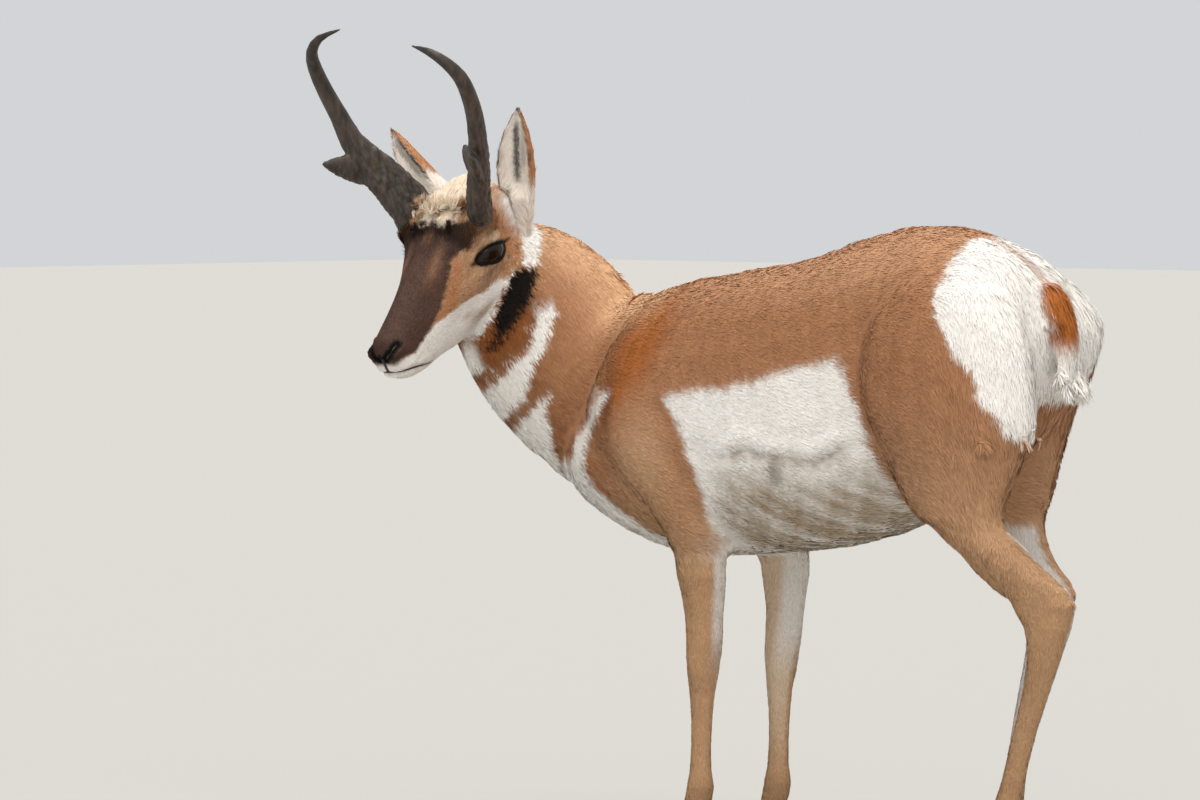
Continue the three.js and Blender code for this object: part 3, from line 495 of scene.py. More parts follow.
def legColours(p, colour, fore):
    x, y, z = p[:, 0], np.abs(p[:, 1]), p[:, 2]
    if fore:
        middle = np.interp(z, [60, 300, 430, 560], [74, 76, 86, 92])
    else:
        middle = np.interp(z, [60, 330, 470, 650], [87, 90, 100, 86])
    inner = smooth(middle - y + wobble(p, 16, 3) * 2, 2, 13)
    colour = mix(colour, coatTone["legTan"], smooth(450 - z, -30, 60))
    innerTone = coatTone["white"] * 0.86 if not fore else tone(214, 192, 166)
    colour = mix(colour, innerTone, inner * smooth(z, 95, 260) * 0.9)
    if fore:
        backEdge = np.interp(z, [250, 430], [-100, -84])
        behind = smooth(x, backEdge, backEdge + 14) * smooth(z, 240, 330)
        colour = mix(colour, coatTone["white"] * 0.86, behind * 0.8 * smooth(middle + 14 - y, 0, 10))
    return mix(colour, tone(150, 116, 84), smooth(120 - z, -30, 40) * 0.6)


def tailColours(p, colour):
    y, z = p[:, 1], p[:, 2]
    middle = smooth(21 + wobble(p, 12, 2) * 3 - np.abs(y + 3), -4, 6)
    high = smooth(z, 716, 752) * smooth(824 - z, -6, 12)
    colour = mix(colour, coatTone["white"], np.ones(len(p)))
    colour = mix(colour, coatTone["tail"], middle * high)
    black = blob(p, (487, -17, 758), (30, 6, 20))
    return mix(colour, coatTone["black"], np.clip(black * 1.1, 0, 0.9) * (0.6 + 0.4 * wobble(p, 7, 1)))


def mix(colour, other, weight):
    w = np.clip(weight, 0, 1)[:, None]
    return colour * (1 - w) + other * w


def coatColours(p, region):
    colour = np.tile(coatTone["tan"], (len(p), 1))
    colour = torsoColours(p, colour)
    leg = colour.copy()
    for name, fore in (("foreleg", True), ("hindleg", False)):
        chosen = region[name] > 0
        leg[chosen] = legColours(p[chosen], leg[chosen], fore)
    legs = smooth(region["foreleg"] + region["hindleg"], 0.1, 0.9)
    colour = mix(colour, leg, legs)
    front = p[:, 0] < -190
    neck = colour.copy()
    neck[front] = neckColours(p[front], neck[front])
    t, _, _ = neckPlace(p)
    colour = mix(colour, neck, front * smooth(t, 0.0, 0.5) * smooth(p[:, 2], 440, 500))
    face = headColours(p, colour)
    local = toHead(p)
    onHead = np.maximum(region["head"], (local[:, 0] > -48) * region["neck"] * smooth(t, 4.4, 4.9))
    colour = mix(colour, face, onHead)
    near = np.clip(region["neck"] * 3, 0, 1)
    for name, key, w in (("cheekWhite", "white", 1), ("rustJaw", "jaw", 0.9), ("blackPatch", "black", 1),
                         ("earStrip", "white", 1)):
        noise = wobble(p, 13, 1.3) * 1.6
        reach = smooth(t, 4.6, 4.9) if name == "earStrip" else smooth(t, 3.5, 3.8)
        m = inside(local[:, 0] + noise, local[:, 2] + noise * 0.8, patches[name], 2.4) * reach
        colour = mix(colour, coatTone[key], m * near * w * smooth(np.abs(local[:, 1]), 10, 26))
    tail = tailColours(p, colour)
    return mix(colour, tail, region["tail"])


# the skin, one surface over all the flesh

skinSizes = {"voxel": 0.0024, "rounds": 14, "limit": 190000}


def copyNodes(name, nodes, swell=0.0005):
    deselectAll()
    copies = []
    for node in nodes:
        piece = link(bpy.data.objects.new(name, frame["nodes"][node].data.copy()))
        bm = bmesh.new()
        bm.from_mesh(piece.data)
        bmesh.ops.remove_doubles(bm, verts=bm.verts, dist=0.00002)
        bmesh.ops.recalc_face_normals(bm, faces=bm.faces)
        bm.normal_update()
        moved = [(v, v.co + v.normal * swell) for v in bm.verts]
        for v, place in moved:
            v.co = place
        bm.to_mesh(piece.data)
        bm.free()
        copies.append(piece)
    for piece in copies:
        piece.select_set(True)
    bpy.context.view_layer.objects.active = copies[0]
    bpy.ops.object.join()
    return copies[0]


# the CAD node nearest to a place, from points spread over the flesh
def nodeFinder():
    names = fleshNodes
    samples, owners = [], []
    for k, node in enumerate(names):
        mesh = frame["nodes"][node].data
        points = verticesOf(mesh)
        triangles = trianglesOf(mesh)
        a, b, c = (points[triangles[:, i]] for i in range(3))
        area = np.linalg.norm(np.cross(b - a, c - a), axis=1) / 2
        count = int(area.sum() / 0.00003)
        chosen = rng.choice(len(area), count, p=area / area.sum())
        u, v = rng.random(count), rng.random(count)
        over = u + v > 1
        u[over], v[over] = 1 - u[over], 1 - v[over]
        samples.append(a[chosen] + (b - a)[chosen] * u[:, None] + (c - a)[chosen] * v[:, None])
        owners.append(np.full(count, k))
    samples, owners = np.concatenate(samples), np.concatenate(owners)
    tree = KDTree(len(samples))
    for i, place in enumerate(samples):
        tree.insert(place, i)
    tree.balance()
    return names, tree, owners


def regionsOf(points, edges):
    names, tree, owners = nodeFinder()
    owner = np.array([owners[tree.find(place)[1]] for place in points])
    out = {}
    for key in ("torso", "neck", "head", "foreleg", "hindleg", "tail"):
        members = [k for k, n in enumerate(names) if n.startswith(key)]
        value = np.isin(owner, members).astype(float)
        out[key] = relax(value, edges, len(points), 5 if key in ("head", "tail") else 12)
    out["owner"] = owner
    return out


def coatDepth(region, points):
    deep = 0.0011 + 0.0045 * (region["torso"] + region["neck"]) + 0.0022 * region["head"] + 0.005 * region["tail"]
    legs = region["foreleg"] + region["hindleg"]
    return deep + (0.002 + 0.0025 * smooth(points[:, 2], 0.43, 0.56)) * legs


def shapeFace(points, normals, region):
    body = (points - shift) * 1000
    local = toHead(body)
    x, y, z = local[:, 0], np.abs(local[:, 1]), local[:, 2]
    push = np.zeros(len(points))
    mouth = farFromLine(local, mouthLine)
    push -= 2.6 * np.exp(-((mouth / 2.6) ** 2))
    lips = np.exp(-(((mouth - 6) / 4.5) ** 2)) * smooth(x, 145, 165)
    push += 1.3 * lips
    slit = farFromLine(local, nostrilLine)
    push -= 7.0 * np.exp(-((slit / 4.2) ** 2))
    push += 1.8 * np.exp(-(((slit - 7) / 3.2) ** 2)) * smooth(z, -20, -8)
    for side in (-1, 1):
        ex, ey, deep = toEye(local, side)
        ring = np.sqrt((ex / eyeShape["long"]) ** 2 + (ey / eyeShape["tall"]) ** 2)
        front = (deep > 5) * (ring < 3)
        push += front * 1.6 * np.exp(-(((ring - 1.5) / 0.22) ** 2)) * smooth(ey, -4, 6)
        push -= front * 1.2 * np.exp(-(((ring - 1.95) / 0.2) ** 2)) * smooth(ey, -4, 6)
        push -= front * 0.9 * np.exp(-(((ring - 1.75) / 0.2) ** 2)) * smooth(-ey, -2, 6)
    tear = np.exp(-(((x - 22) / 16) ** 2 + ((z + 10) / 5) ** 2)) * smooth(y, 30, 45)
    push -= 1.5 * tear
    cheekBone = (np.exp(-(((z + 22 + (x - 30) * 0.15) / 9) ** 2)) * smooth(x, 10, 40)
                 * smooth(120 - x, 0, 50) * smooth(y, 20, 34))
    push += 1.6 * cheekBone
    brow = np.exp(-(((x - 6) / 20) ** 2 + ((y - 44) / 14) ** 2 + ((z - 30) / 14) ** 2))
    push += 4.0 * brow
    foot = np.exp(-(((x + 14) / 24) ** 2 + ((y - 64) / 16) ** 2 + ((z - 18) / 13) ** 2))
    push += 7.5 * foot
    jaw = np.exp(-(((x + 2) / 22) ** 2 + ((z + 84) / 24) ** 2)) * smooth(y, 30, 45)
    push += 1.5 * jaw
    return points + normals * (push * region["head"] / 1000)[:, None]


def shapeBody(points, normals, region):
    body = (points - shift) * 1000
    x, y, z = body[:, 0], np.abs(body[:, 1]), body[:, 2]
    trunk = np.clip(region["torso"] * 1.2, 0, 1)
    fold = shelfLine(x)
    run = smooth(x, -50, 0) * smooth(215 - x, 0, 40) * smooth(y, 90, 120) * trunk
    push = 3.2 * np.exp(-(((z - fold - 13) / 13) ** 2)) * run
    push -= 3.0 * np.exp(-(((z - fold + 4) / 6) ** 2)) * run
    waves = 0.5 * wobble(body, 95, 2.8) + 0.35 * wobble(body * (1, 1, 0.6), 48, 5.2)
    push += 2.0 * waves * trunk * smooth(z, 380, 470)
    ribs = np.sin((x + 0.35 * (z - 640)) / 6.2)
    push += 0.5 * ribs * smooth(x, -70, 0) * smooth(180 - x, 0, 60) * smooth(z, 600, 650) * smooth(740 - z, 0, 50) * trunk
    push += shapeLegs(x, z, region)
    return points + normals * (push / 1000)[:, None]


def shapeLegs(x, z, region):
    hind, fore = region["hindleg"], region["foreleg"]
    achilles = np.interp(z, [300, 340, 400, 450, 500], [505, 507, 490, 462, 436])
    groove = np.exp(-(((x - achilles + 21) / 6) ** 2)) * smooth(z, 325, 360) * smooth(480 - z, 0, 60)
    push = -3.2 * groove * hind
    shin = np.interp(z, [100, 180, 260, 310], [448, 456, 470, 486])
    push -= 1.8 * np.exp(-(((x - shin - 3) / 4.5) ** 2)) * smooth(z, 110, 150) * smooth(300 - z, 0, 40) * hind
    bone = np.interp(z, [90, 200, 260], [-122, -116, -112])
    push -= 1.4 * np.exp(-(((x - bone - 8) / 4.0) ** 2)) * smooth(z, 100, 140) * smooth(250 - z, 0, 30) * fore
    arm = np.interp(z, [330, 400, 470], [-112, -128, -150])
    return push - 1.8 * np.exp(-(((x - arm) / 6) ** 2)) * smooth(z, 320, 360) * smooth(480 - z, 0, 60) * fore


def eyeDeep(ex, ey):
    ball = eyeShape["ball"]
    long = np.where(ex > 0, eyeShape["ahead"], ball)
    return ball * np.sqrt(np.maximum(1 - (ex / long) ** 2 - (ey / ball) ** 2, 0.0004))


def sinkUnderEyes(points):
    body = (points - shift) * 1000
    local = toHead(body)
    for side in (1, -1):
        _, face, _, _ = eyeFrame(side)
        ex, ey, deep = toEye(local, side)
        ring = np.sqrt((ex / np.where(ex > 0, 27.5, 24)) ** 2 + (ey / 12.8) ** 2)
        pull = smooth(1.22 - ring, 0, 0.14) * (deep > -4)
        extra = np.maximum(deep - (eyeDeep(ex, ey) - 1.8), 0) * pull
        local = local - face * extra[:, None]
    return fromHead(local) / 1000 + shift


nostrilLine = np.array([(212, 6, -10), (210, 13, -4), (203, 19, 1), (194, 23, 3)], dtype=float)


def makeSkin():
    piece = copyNodes("skin", fleshNodes + ["eye_left", "eye_right"], 0.0016)
    applyModifier(piece, "REMESH", mode="VOXEL", voxel_size=skinSizes["voxel"])
    points, edges = verticesOf(piece.data), edgesOf(piece.data)
    print("remeshed", len(points))
    region = regionsOf(points, edges)
    joint = 1 - np.max([region[key] for key in ("torso", "neck", "foreleg", "hindleg", "head", "tail")], axis=0)
    joint = relax(np.clip(joint * 5, 0, 1), edges, len(points), 70) * (1 - np.clip(region["tail"], 0, 1))
    local = toHead((points - shift) * 1000)
    crownBack = smooth(-local[:, 0], 52, 74)
    joint = joint * (1 - region["head"] * (1 - crownBack))
    joint = np.maximum(joint, region["head"] * crownBack * smooth(80 - np.abs(local[:, 2] - 20), 0, 20))
    legs = (region["foreleg"] + region["hindleg"])[:, None]
    slow = region["head"][:, None] + 0.7 * legs * smooth(0.42 - points[:, 2], -0.05, 0.05)[:, None]
    relaxed = relax(points, edges, len(points), skinSizes["rounds"])
    lightly = relax(points, edges, len(points), 2)
    points = relaxed * (1 - np.clip(slow, 0, 1)) + lightly * np.clip(slow, 0, 1)
    calm = smooth(points[:, 2], 0.48, 0.52) * (1 - np.clip(region["head"] + region["tail"], 0, 1))
    for rounds in (150, 90):  # fills the seams and takes the solids' locks down
        filled = relax(points, edges, len(points), rounds)
        stray = smooth(np.linalg.norm(points - filled, axis=1), 0.0026, 0.004) * calm
        blendIn = np.clip(np.maximum(joint * 3.5, stray), 0, 1)[:, None]
        points = points * (1 - blendIn) + filled * blendIn
    filled = relax(points, edges, len(points), 150)
    low = smooth(points[:, 0] - shift[0], 0.36, 0.4) * smooth(0.67 - points[:, 2], 0, 0.03) * calm
    blendIn = (smooth(np.linalg.norm(points - filled, axis=1), 0.0008, 0.0018) * low)[:, None]
    points = points * (1 - blendIn) + filled * blendIn
    normals = vertexNormals(points, trianglesOf(piece.data))
    points = points - normals * coatDepth(region, points)[:, None]
    points = shapeFace(points, normals, region)
    points = shapeBody(points, normals, region)
    points = sinkUnderEyes(points)
    setVertices(piece.data, points)
    group = piece.vertex_groups.new(name="thin")
    keep = np.round((1 - np.clip(region["head"] * 1.2, 0, 1)) * 4) / 4
    for level in np.unique(keep):
        if level > 0:
            group.add(np.nonzero(keep == level)[0].tolist(), float(level), "REPLACE")
    faces = len(trianglesOf(piece.data))
    if faces > skinSizes["limit"]:
        applyModifier(piece, "DECIMATE", ratio=skinSizes["limit"] / faces, vertex_group="thin", vertex_group_factor=1.0)
    print("skin", len(piece.data.polygons))
    return piece


skin = makeSkin()
skinPoints = verticesOf(skin.data)
skinEdges = edgesOf(skin.data)
skinRegion = regionsOf(skinPoints, skinEdges)
skinTriangles = trianglesOf(skin.data)
skinNormals = vertexNormals(skinPoints, skinTriangles)
bodyPoints = (skinPoints - shift) * 1000


def nearHornFoot(local):
    weight = np.zeros(len(local))
    way = np.zeros((len(local), 3))
    for side in (1, -1):
        centre = np.array([-31, 54 * side, 28.0])
        axis = unit(np.array([-0.16, 0.33 * side, 0.93]))
        ahead = np.array([math.cos(math.radians(35)), side * math.sin(math.radians(35)), 0])
        ahead = unit(ahead - axis * (ahead @ axis))
        across = np.cross(axis, ahead)
        away = local - centre
        ring = np.sqrt((away @ ahead / 33) ** 2 + (away @ across / 19) ** 2)
        here = smooth(1.75 - ring, 0, 0.5) * smooth(ring, 0.6, 0.85)
        flat = away - axis * (away @ axis)[:, None]
        ex, ey, _ = toEye(local, side)
        here = here * smooth(np.sqrt((ex / 27) ** 2 + (ey / 13) ** 2), 1.5, 2.1)
        way = np.where((here > weight)[:, None], axis - unit(flat) * 0.25, way)
        weight = np.maximum(weight, here)
    return weight, way


# the way the coat lies
def lieOf(p, normals, region):
    t, _, along = neckPlace(p)
    side = np.sign(p[:, 1])
    body = np.stack([np.ones(len(p)), np.zeros(len(p)), -0.34 * smooth(840 - p[:, 2], 0, 120)], 1)
    rumpPull = smooth(p[:, 0], 330, 430)[:, None]
    body = body * (1 - rumpPull) + np.stack([np.full(len(p), 0.35), side * 0.1, np.full(len(p), -0.95)], 1) * rumpPull
    thigh = (region["hindleg"] * smooth(620 - p[:, 2], -120, 60))[:, None]
    body = body * (1 - thigh) + np.array([0.25, 0, -1.0]) * thigh
    neck = -along + np.array([0.1, 0, -0.35])
    local = toHead(p)
    face = np.tile(-headBasis[:, 0], (len(p), 1)) - headBasis[:, 2] * 0.25 * smooth(-local[:, 2], -20, 40)[:, None]
    leg = np.tile(np.array([0.08, 0, -1.0]), (len(p), 1))
    tail = np.tile(np.array([0.3, 0, -1.0]), (len(p), 1))
    low = smooth(520 - p[:, 2], -40, 80)
    w = {
        "body": region["torso"] + (region["foreleg"] + region["hindleg"]) * (1 - low),
        "neck": region["neck"] * smooth(t, 0.1, 0.9) + region["torso"] * smooth(-p[:, 0], 300, 380) * 1.5,
        "face": region["head"],
        "leg": (region["foreleg"] + region["hindleg"]) * low,
        "tail": region["tail"],
    }
    total = body * w["body"][:, None] + unit(neck) * w["neck"][:, None] + unit(face) * w["face"][:, None]
    total = total + leg * w["leg"][:, None] + tail * w["tail"][:, None]
    total = total - normals * (total * normals).sum(1, keepdims=True)
    return unit(total)


skinLie = lieOf(bodyPoints, skinNormals, skinRegion)
skinLie = unit(relax(skinLie, skinEdges, len(skinPoints), 8))
footWeight, footWay = nearHornFoot(toHead(bodyPoints))
footWeight = (footWeight * np.clip(skinRegion["head"] + skinRegion["neck"], 0, 1))[:, None]
skinLie = unit(skinLie * (1 - footWeight) + (footWay @ headBasis.T) * footWeight)
softNormals = unit(relax(skinNormals, skinEdges, len(skinPoints), 10))
calmNormals = unit(relax(skinNormals, skinEdges, len(skinPoints), 70))
calmPart = smooth(bodyPoints[:, 0], 370, 400) * smooth(670 - bodyPoints[:, 2], 0, 30) * smooth(bodyPoints[:, 2], 480, 520)
softNormals = unit(softNormals * (1 - calmPart[:, None]) + calmNormals * calmPart[:, None])
skinColours = coatColours(bodyPoints, skinRegion)
print("coloured")


def setColours(mesh, colours, name="coatTone"):
    layer = mesh.color_attributes.new(name, "FLOAT_COLOR", "POINT")
    rgba = np.ones((len(colours), 4), dtype=np.float32)
    rgba[:, :3] = np.clip(colours, 0, 1)
    layer.data.foreach_set("color", rgba.ravel())
    mesh.color_attributes.active_color = layer


def unwrapOf(p, owner):
    t, angle, _ = neckPlace(p)
    local = toHead(p)
    trunkAngle = np.degrees(np.arctan2(p[:, 1], p[:, 2] - 640)) / 360 + 0.5
    u = np.clip((p[:, 0] + 420) / 960, 0, 1) * 0.6
    v = trunkAngle * 0.45
    isNeck = owner == fleshNodes.index("neck")
    u = np.where(isNeck, 0.62 + t / 7 * 0.36, u)
    v = np.where(isNeck, (angle / 360 + 0.5) * 0.3, v)
    isHead = owner == fleshNodes.index("head")
    headAngle = np.degrees(np.arctan2(local[:, 1], local[:, 2] + 30)) / 360 + 0.5
    u = np.where(isHead, 0.62 + np.clip((local[:, 0] + 140) / 360, 0, 1) * 0.36, u)
    v = np.where(isHead, 0.32 + headAngle * 0.3, v)
    for k, node in enumerate(("foreleg_left", "foreleg_right", "hindleg_left", "hindleg_right")):
        isLeg = owner == fleshNodes.index(node)
        front = node.startswith("fore")
        y = -76 if node.endswith("left") else 76
        x = -120 if front else 470
        around = np.degrees(np.arctan2(p[:, 1] - y * 1.15, p[:, 0] - x)) / 360 + 0.5
        u = np.where(isLeg, np.clip(p[:, 2] / 860, 0, 1) * 0.6, u)
        v = np.where(isLeg, 0.48 + 0.125 * k + around * 0.115, v)
    isTail = owner == fleshNodes.index("tail")
    u = np.where(isTail, 0.64 + np.clip((p[:, 2] - 650) / 170, 0, 1) * 0.3, u)
    v = np.where(isTail, 0.66 + np.clip((p[:, 1] + 40) / 80, 0, 1) * 0.15, v)
    return np.stack([u, v], 1)


# the coat, many tufts along its lie

coatSizes = {  # metres, but for count and perPiece
    "count": 430000,
    "bodyLength": 0.0125, "bodyWidth": 0.0016, "faceLength": 0.0055,
    "faceWidth": 0.0011, "legLength": 0.007, "legWidth": 0.0012,
    "tailLength": 0.021, "sink": 0.0006, "perPiece": 62000,
}


def tuftSizes(p, region):
    s = coatSizes
    local = toHead(p)
    low = smooth(430 - p[:, 2], -60, 60) * (region["foreleg"] + region["hindleg"])
    length = np.full(len(p), s["bodyLength"])
    width = np.full(len(p), s["bodyWidth"])
    length = length + (s["legLength"] - length) * np.clip(low, 0, 1)
    width = width + (s["legWidth"] - width) * np.clip(low, 0, 1)
    muzzle = smooth(local[:, 0], -20, 150)
    face = s["faceLength"] * (1.25 - 0.6 * muzzle)
    length = length + (face - length) * region["head"]
    width = width + (s["faceWidth"] - width) * region["head"]
    crown = (region["head"] * smooth(-local[:, 0], 0, 20) * smooth(32 - np.abs(local[:, 1]), -4, 8)
             * smooth(local[:, 2], 25, 45))
    length = length * (1 + crown * 2.2)
    width = width * (1 + crown * 0.4)
    t, _, _ = neckPlace(p)
    length = length * (1 - 0.4 * region["neck"] * smooth(t, 3.0, 4.2))
    fluffy = blob(np.stack([local[:, 0], np.abs(local[:, 1]), local[:, 2]], 1), (-84, 62, 0), (36, 30, 40))
    length = length * (1 + 0.9 * np.clip(fluffy * 1.4, 0, 1) * region["head"])
    for side in (1, -1):
        ex, ey, deep = toEye(local, side)
        ring = np.sqrt((ex / 27) ** 2 + (ey / 13) ** 2)
        length = length * (1 - 0.4 * smooth(2.6 - ring, 0, 0.8) * (deep > 0) * region["head"])
    foot = nearHornFoot(local)[0]
    length = length + (0.014 - length) * foot
    rump = (region["torso"] * smooth(p[:, 0], 360, 440)
            + region["hindleg"] * smooth(p[:, 0], 380, 470) * smooth(p[:, 2], 580, 640))
    length = length * (1 + np.clip(rump, 0, 1) * 0.5)
    length = length + (s["tailLength"] - length) * region["tail"]
    return length, width


def density(p, region):
    local = toHead(p)
    low = smooth(430 - p[:, 2], -60, 60) * (region["foreleg"] + region["hindleg"])
    return 1 + 4.2 * region["head"] + 0.9 * low + 0.3 * region["tail"] + 2 * region["head"] * nearHornFoot(local)[0]


def growTufts(count):
    a, b, c = (skinPoints[skinTriangles[:, i]] for i in range(3))
    area = np.linalg.norm(np.cross(b - a, c - a), axis=1) / 2
    weight = area * density(bodyPoints, skinRegion)[skinTriangles].mean(1)
    chosen = np.sort(rng.choice(len(area), count, p=weight / weight.sum()))
    u, v = rng.random(count), rng.random(count)
    over = u + v > 1
    u[over], v[over] = 1 - u[over], 1 - v[over]
    bary = np.stack([1 - u - v, u, v], 1)[:, :, None]
    tri = skinTriangles[chosen]
    blend = lambda values: (values[tri] * bary).sum(1)
    root = blend(skinPoints)
    normal = unit(blend(softNormals))
    lie = blend(skinLie)
    lie = unit(lie - normal * (lie * normal).sum(1, keepdims=True))
    region = {key: (value[tri] * bary[:, :, 0]).sum(1) for key, value in skinRegion.items() if key != "owner"}
    owner = skinRegion["owner"][tri[:, 0]]
    body = (root - shift) * 1000
    return root, normal, lie, region, owner, body


def keepTufts(body, region):
    local = toHead(body)
    hidden = farFromLine(local, nostrilLine) < 5.0
    hidden |= farFromLine(local, mouthLine) < 1.0
    hidden |= (local[:, 0] > 208) & (local[:, 2] < 2) & (local[:, 2] > -24) & (np.abs(local[:, 1]) < 12)
    for side in (-1, 1):
        ex, ey, deep = toEye(local, side)
        hidden |= (deep > 2) & ((ex / np.where(ex > 0, 36, 29)) ** 2 + (ey / np.where(ey > 0, 17, 19)) ** 2 < 1)
    return ~(hidden & (region["head"] > 0.2))


def buildTufts(root, normal, lie, length, width, colour, body, restless=0.16):
    count = len(root)
    across = np.cross(lie, normal)
    sway = rng.normal(0, restless, count) + 0.1 * wobble(body, 30, 6)
    lie = unit(lie + across * sway[:, None])
    across = unit(np.cross(lie, normal))
    roll = rng.normal(0, 0.3, count)
    flat = unit(across * np.cos(roll)[:, None] + normal * np.sin(roll)[:, None])
    onFace = smooth(np.linalg.norm(toHead(body) * (0.7, 1, 1), axis=1), 150, 110)
    foot = nearHornFoot(toHead(body))[0]
    rise = np.radians(rng.uniform(6, 14, count) + 7 * onFace + 12 * foot)
    start = root - normal * (np.minimum(length * 0.05, coatSizes["sink"]))[:, None]
    reach = lie * np.cos(rise)[:, None] + normal * np.sin(rise)[:, None]
    bent = unit(reach - normal * 0.12)
    middle = start + reach * (length * 0.5)[:, None]
    tip = middle + bent * (length * 0.5)[:, None]
    half = flat * (width / 2)[:, None]
    points = np.stack([start - half, start + half, middle - half * 0.8, middle + half * 0.8, tip], 1)
    top = unit(np.cross(lie, flat))
    top = np.where((top * normal).sum(1, keepdims=True) < 0, -top, top)
    shade = unit(normal * 0.75 + top * 0.3 + reach * 0.06)
    light = colour.mean(1)
    strong = np.where(light > 0.45, 0.45, 1.0)
    variation = 1 + (rng.normal(0, 1, count) * (0.07 + 0.15 * onFace) + 0.05 * wobble(body, 45, 8)) * strong
    warm = rng.normal(0, 0.02, count) * strong
    base = colour * variation[:, None] * np.stack([1 + warm, np.ones(count), 1 - warm], 1)
    rootShade, tipShade = np.array([0.9, 0.86, 0.82]), np.array([1.08, 1.08, 1.08])
    pale = smooth(light, 0.3, 0.6)[:, None]
    rootTone = base * (rootShade * (1 - pale) + 0.94 * pale)
    tipTone = base * (tipShade * (1 - pale) + 1.03 * pale)
    return points, shade, np.stack([rootTone, rootTone, base, base, tipTone], 1)


def makeCoat():
    root, normal, lie, region, owner, body = growTufts(coatSizes["count"])
    colour = coatColours(body + rng.normal(0, 1.0, body.shape), region)
    kept = keepTufts(body, region)
    root, normal, lie, body, colour, owner = (v[kept] for v in (root, normal, lie, body, colour, owner))
    region = {key: value[kept] for key, value in region.items()}
    count = len(root)
    length, width = tuftSizes(body, region)
    length = length * rng.uniform(0.7, 1.25, count)
    width = width * rng.uniform(0.75, 1.25, count)
    return buildTufts(root, normal, lie, length, width, colour, body), unwrapOf(body, owner), count


def linkCoat(points, shade, tones, places, material, name="coat"):
    corner = np.array([(0, 1, 3), (0, 3, 2), (2, 3, 4)])
    spot = np.array([(0, 0), (0.003, 0), (0, 0.0015), (0.003, 0.0015), (0.0015, 0.003)])
    size = coatSizes["perPiece"]
    for k, begin in enumerate(range(0, len(points), size)):
        part = slice(begin, begin + size)
        count = len(points[part])
        index = (np.arange(count)[:, None, None] * 5 + corner[None]).reshape(-1, 3)
        mesh = meshFrom(name + str(k), points[part].reshape(-1, 3), index)
        mesh.normals_split_custom_set_from_vertices(np.repeat(shade[part], 5, 0).astype(np.float32).tolist())
        setColours(mesh, tones[part].reshape(-1, 3))
        uv = mesh.uv_layers.new(name="OFBake")
        places5 = (places[part][:, None, :] + spot[None]).reshape(-1, 2)
        uv.data.foreach_set("uv", places5[index.ravel()].astype(np.float32).ravel())
        mesh.materials.append(material)
        piece = link(bpy.data.objects.new(name + str(k), mesh))
        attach(piece, "root")


# materials

def newMaterial(name, base=(0.5, 0.5, 0.5), roughness=0.6, **more):
    material = bpy.data.materials.new(name)
    material.use_nodes = True
    shader = material.node_tree.nodes["Principled BSDF"]
    shader.inputs["Base Color"].default_value = (*base, 1)
    shader.inputs["Roughness"].default_value = roughness
    for key, value in more.items():
        shader.inputs[key].default_value = value
    return material, material.node_tree, shader


def attributeMaterial(name, attribute, gain, roughness):
    material, tree, shader = newMaterial(name, roughness=roughness)
    shader.inputs["Specular IOR Level"].default_value = 0.12
    read = tree.nodes.new("ShaderNodeVertexColor")
    read.layer_name = attribute
    scale = tree.nodes.new("ShaderNodeMix")
    scale.data_type = "RGBA"
    scale.blend_type = "MULTIPLY"
    scale.inputs["Factor"].default_value = 1
    scale.inputs["B"].default_value = (gain, gain, gain, 1)
    tree.links.new(read.outputs["Color"], scale.inputs["A"])
    tree.links.new(scale.outputs["Result"], shader.inputs["Base Color"])
    return material


coatMaterial = attributeMaterial("coatHair", "coatTone", 1.0, 0.66)
# painted shade: the skin takes the coat's colours at 0.82, darker where it shows between the tufts
shadedSkinMaterial = attributeMaterial("coatSkinShaded", "coatTone", 0.82, 0.9)

skin.data.materials.clear()
skin.data.materials.append(shadedSkinMaterial)
setColours(skin.data, skinColours)
skin.data.polygons.foreach_set("use_smooth", np.ones(len(skin.data.polygons), dtype=bool))
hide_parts(*fleshNodes)
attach(skin, "root")

tufts, places, count = makeCoat()
linkCoat(*tufts, places, coatMaterial)
print("coat", count)

# eyes, lids and lashes

def headPoints(local):
    return fromHead(local) / 1000 + shift


def gridTriangles(rows, columns):
    out = []
    for i in range(rows - 1):
        for j in range(columns):
            a, b = i * columns + j, i * columns + (j + 1) % columns
            c, d = a + columns, b + columns
            out += [(a, b, d), (a, d, c)]
    return np.array(out)


def facingOut(points, triangles, centre):
    a, b, c = (points[triangles[:, i]] for i in range(3))
    away = ((np.cross(b - a, c - a)) * ((a + b + c) / 3 - centre)).sum()
    return triangles if away > 0 else triangles[:, ::-1]


def addPiece(name, points, triangles, material, colours=None):
    mesh = meshFrom(name, points, triangles)
    if colours is not None:
        setColours(mesh, colours)
    mesh.materials.append(material)
    piece = link(bpy.data.objects.new(name, mesh))
    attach(piece, "root")
    return piece


def ballOf(centre, radius, rows=40, columns=64):
    v = np.linspace(0.001, math.pi - 0.001, rows)[:, None]
    u = np.linspace(0, 2 * math.pi, columns, endpoint=False)[None, :]
    grid = np.stack([np.sin(v) * np.cos(u), np.sin(v) * np.sin(u), np.cos(v) * np.ones_like(u)], -1)
    return centre + grid.reshape(-1, 3) * radius


def eyeMaterial():
    material, tree, shader = newMaterial("eyeWet", tuple(tone(14, 10, 9)), 0.06)
    shader.inputs["Specular IOR Level"].default_value = 0.3
    read = tree.nodes.new("ShaderNodeVertexColor")
    read.layer_name = "coatTone"
    tree.links.new(read.outputs["Color"], shader.inputs["Base Color"])
    return material


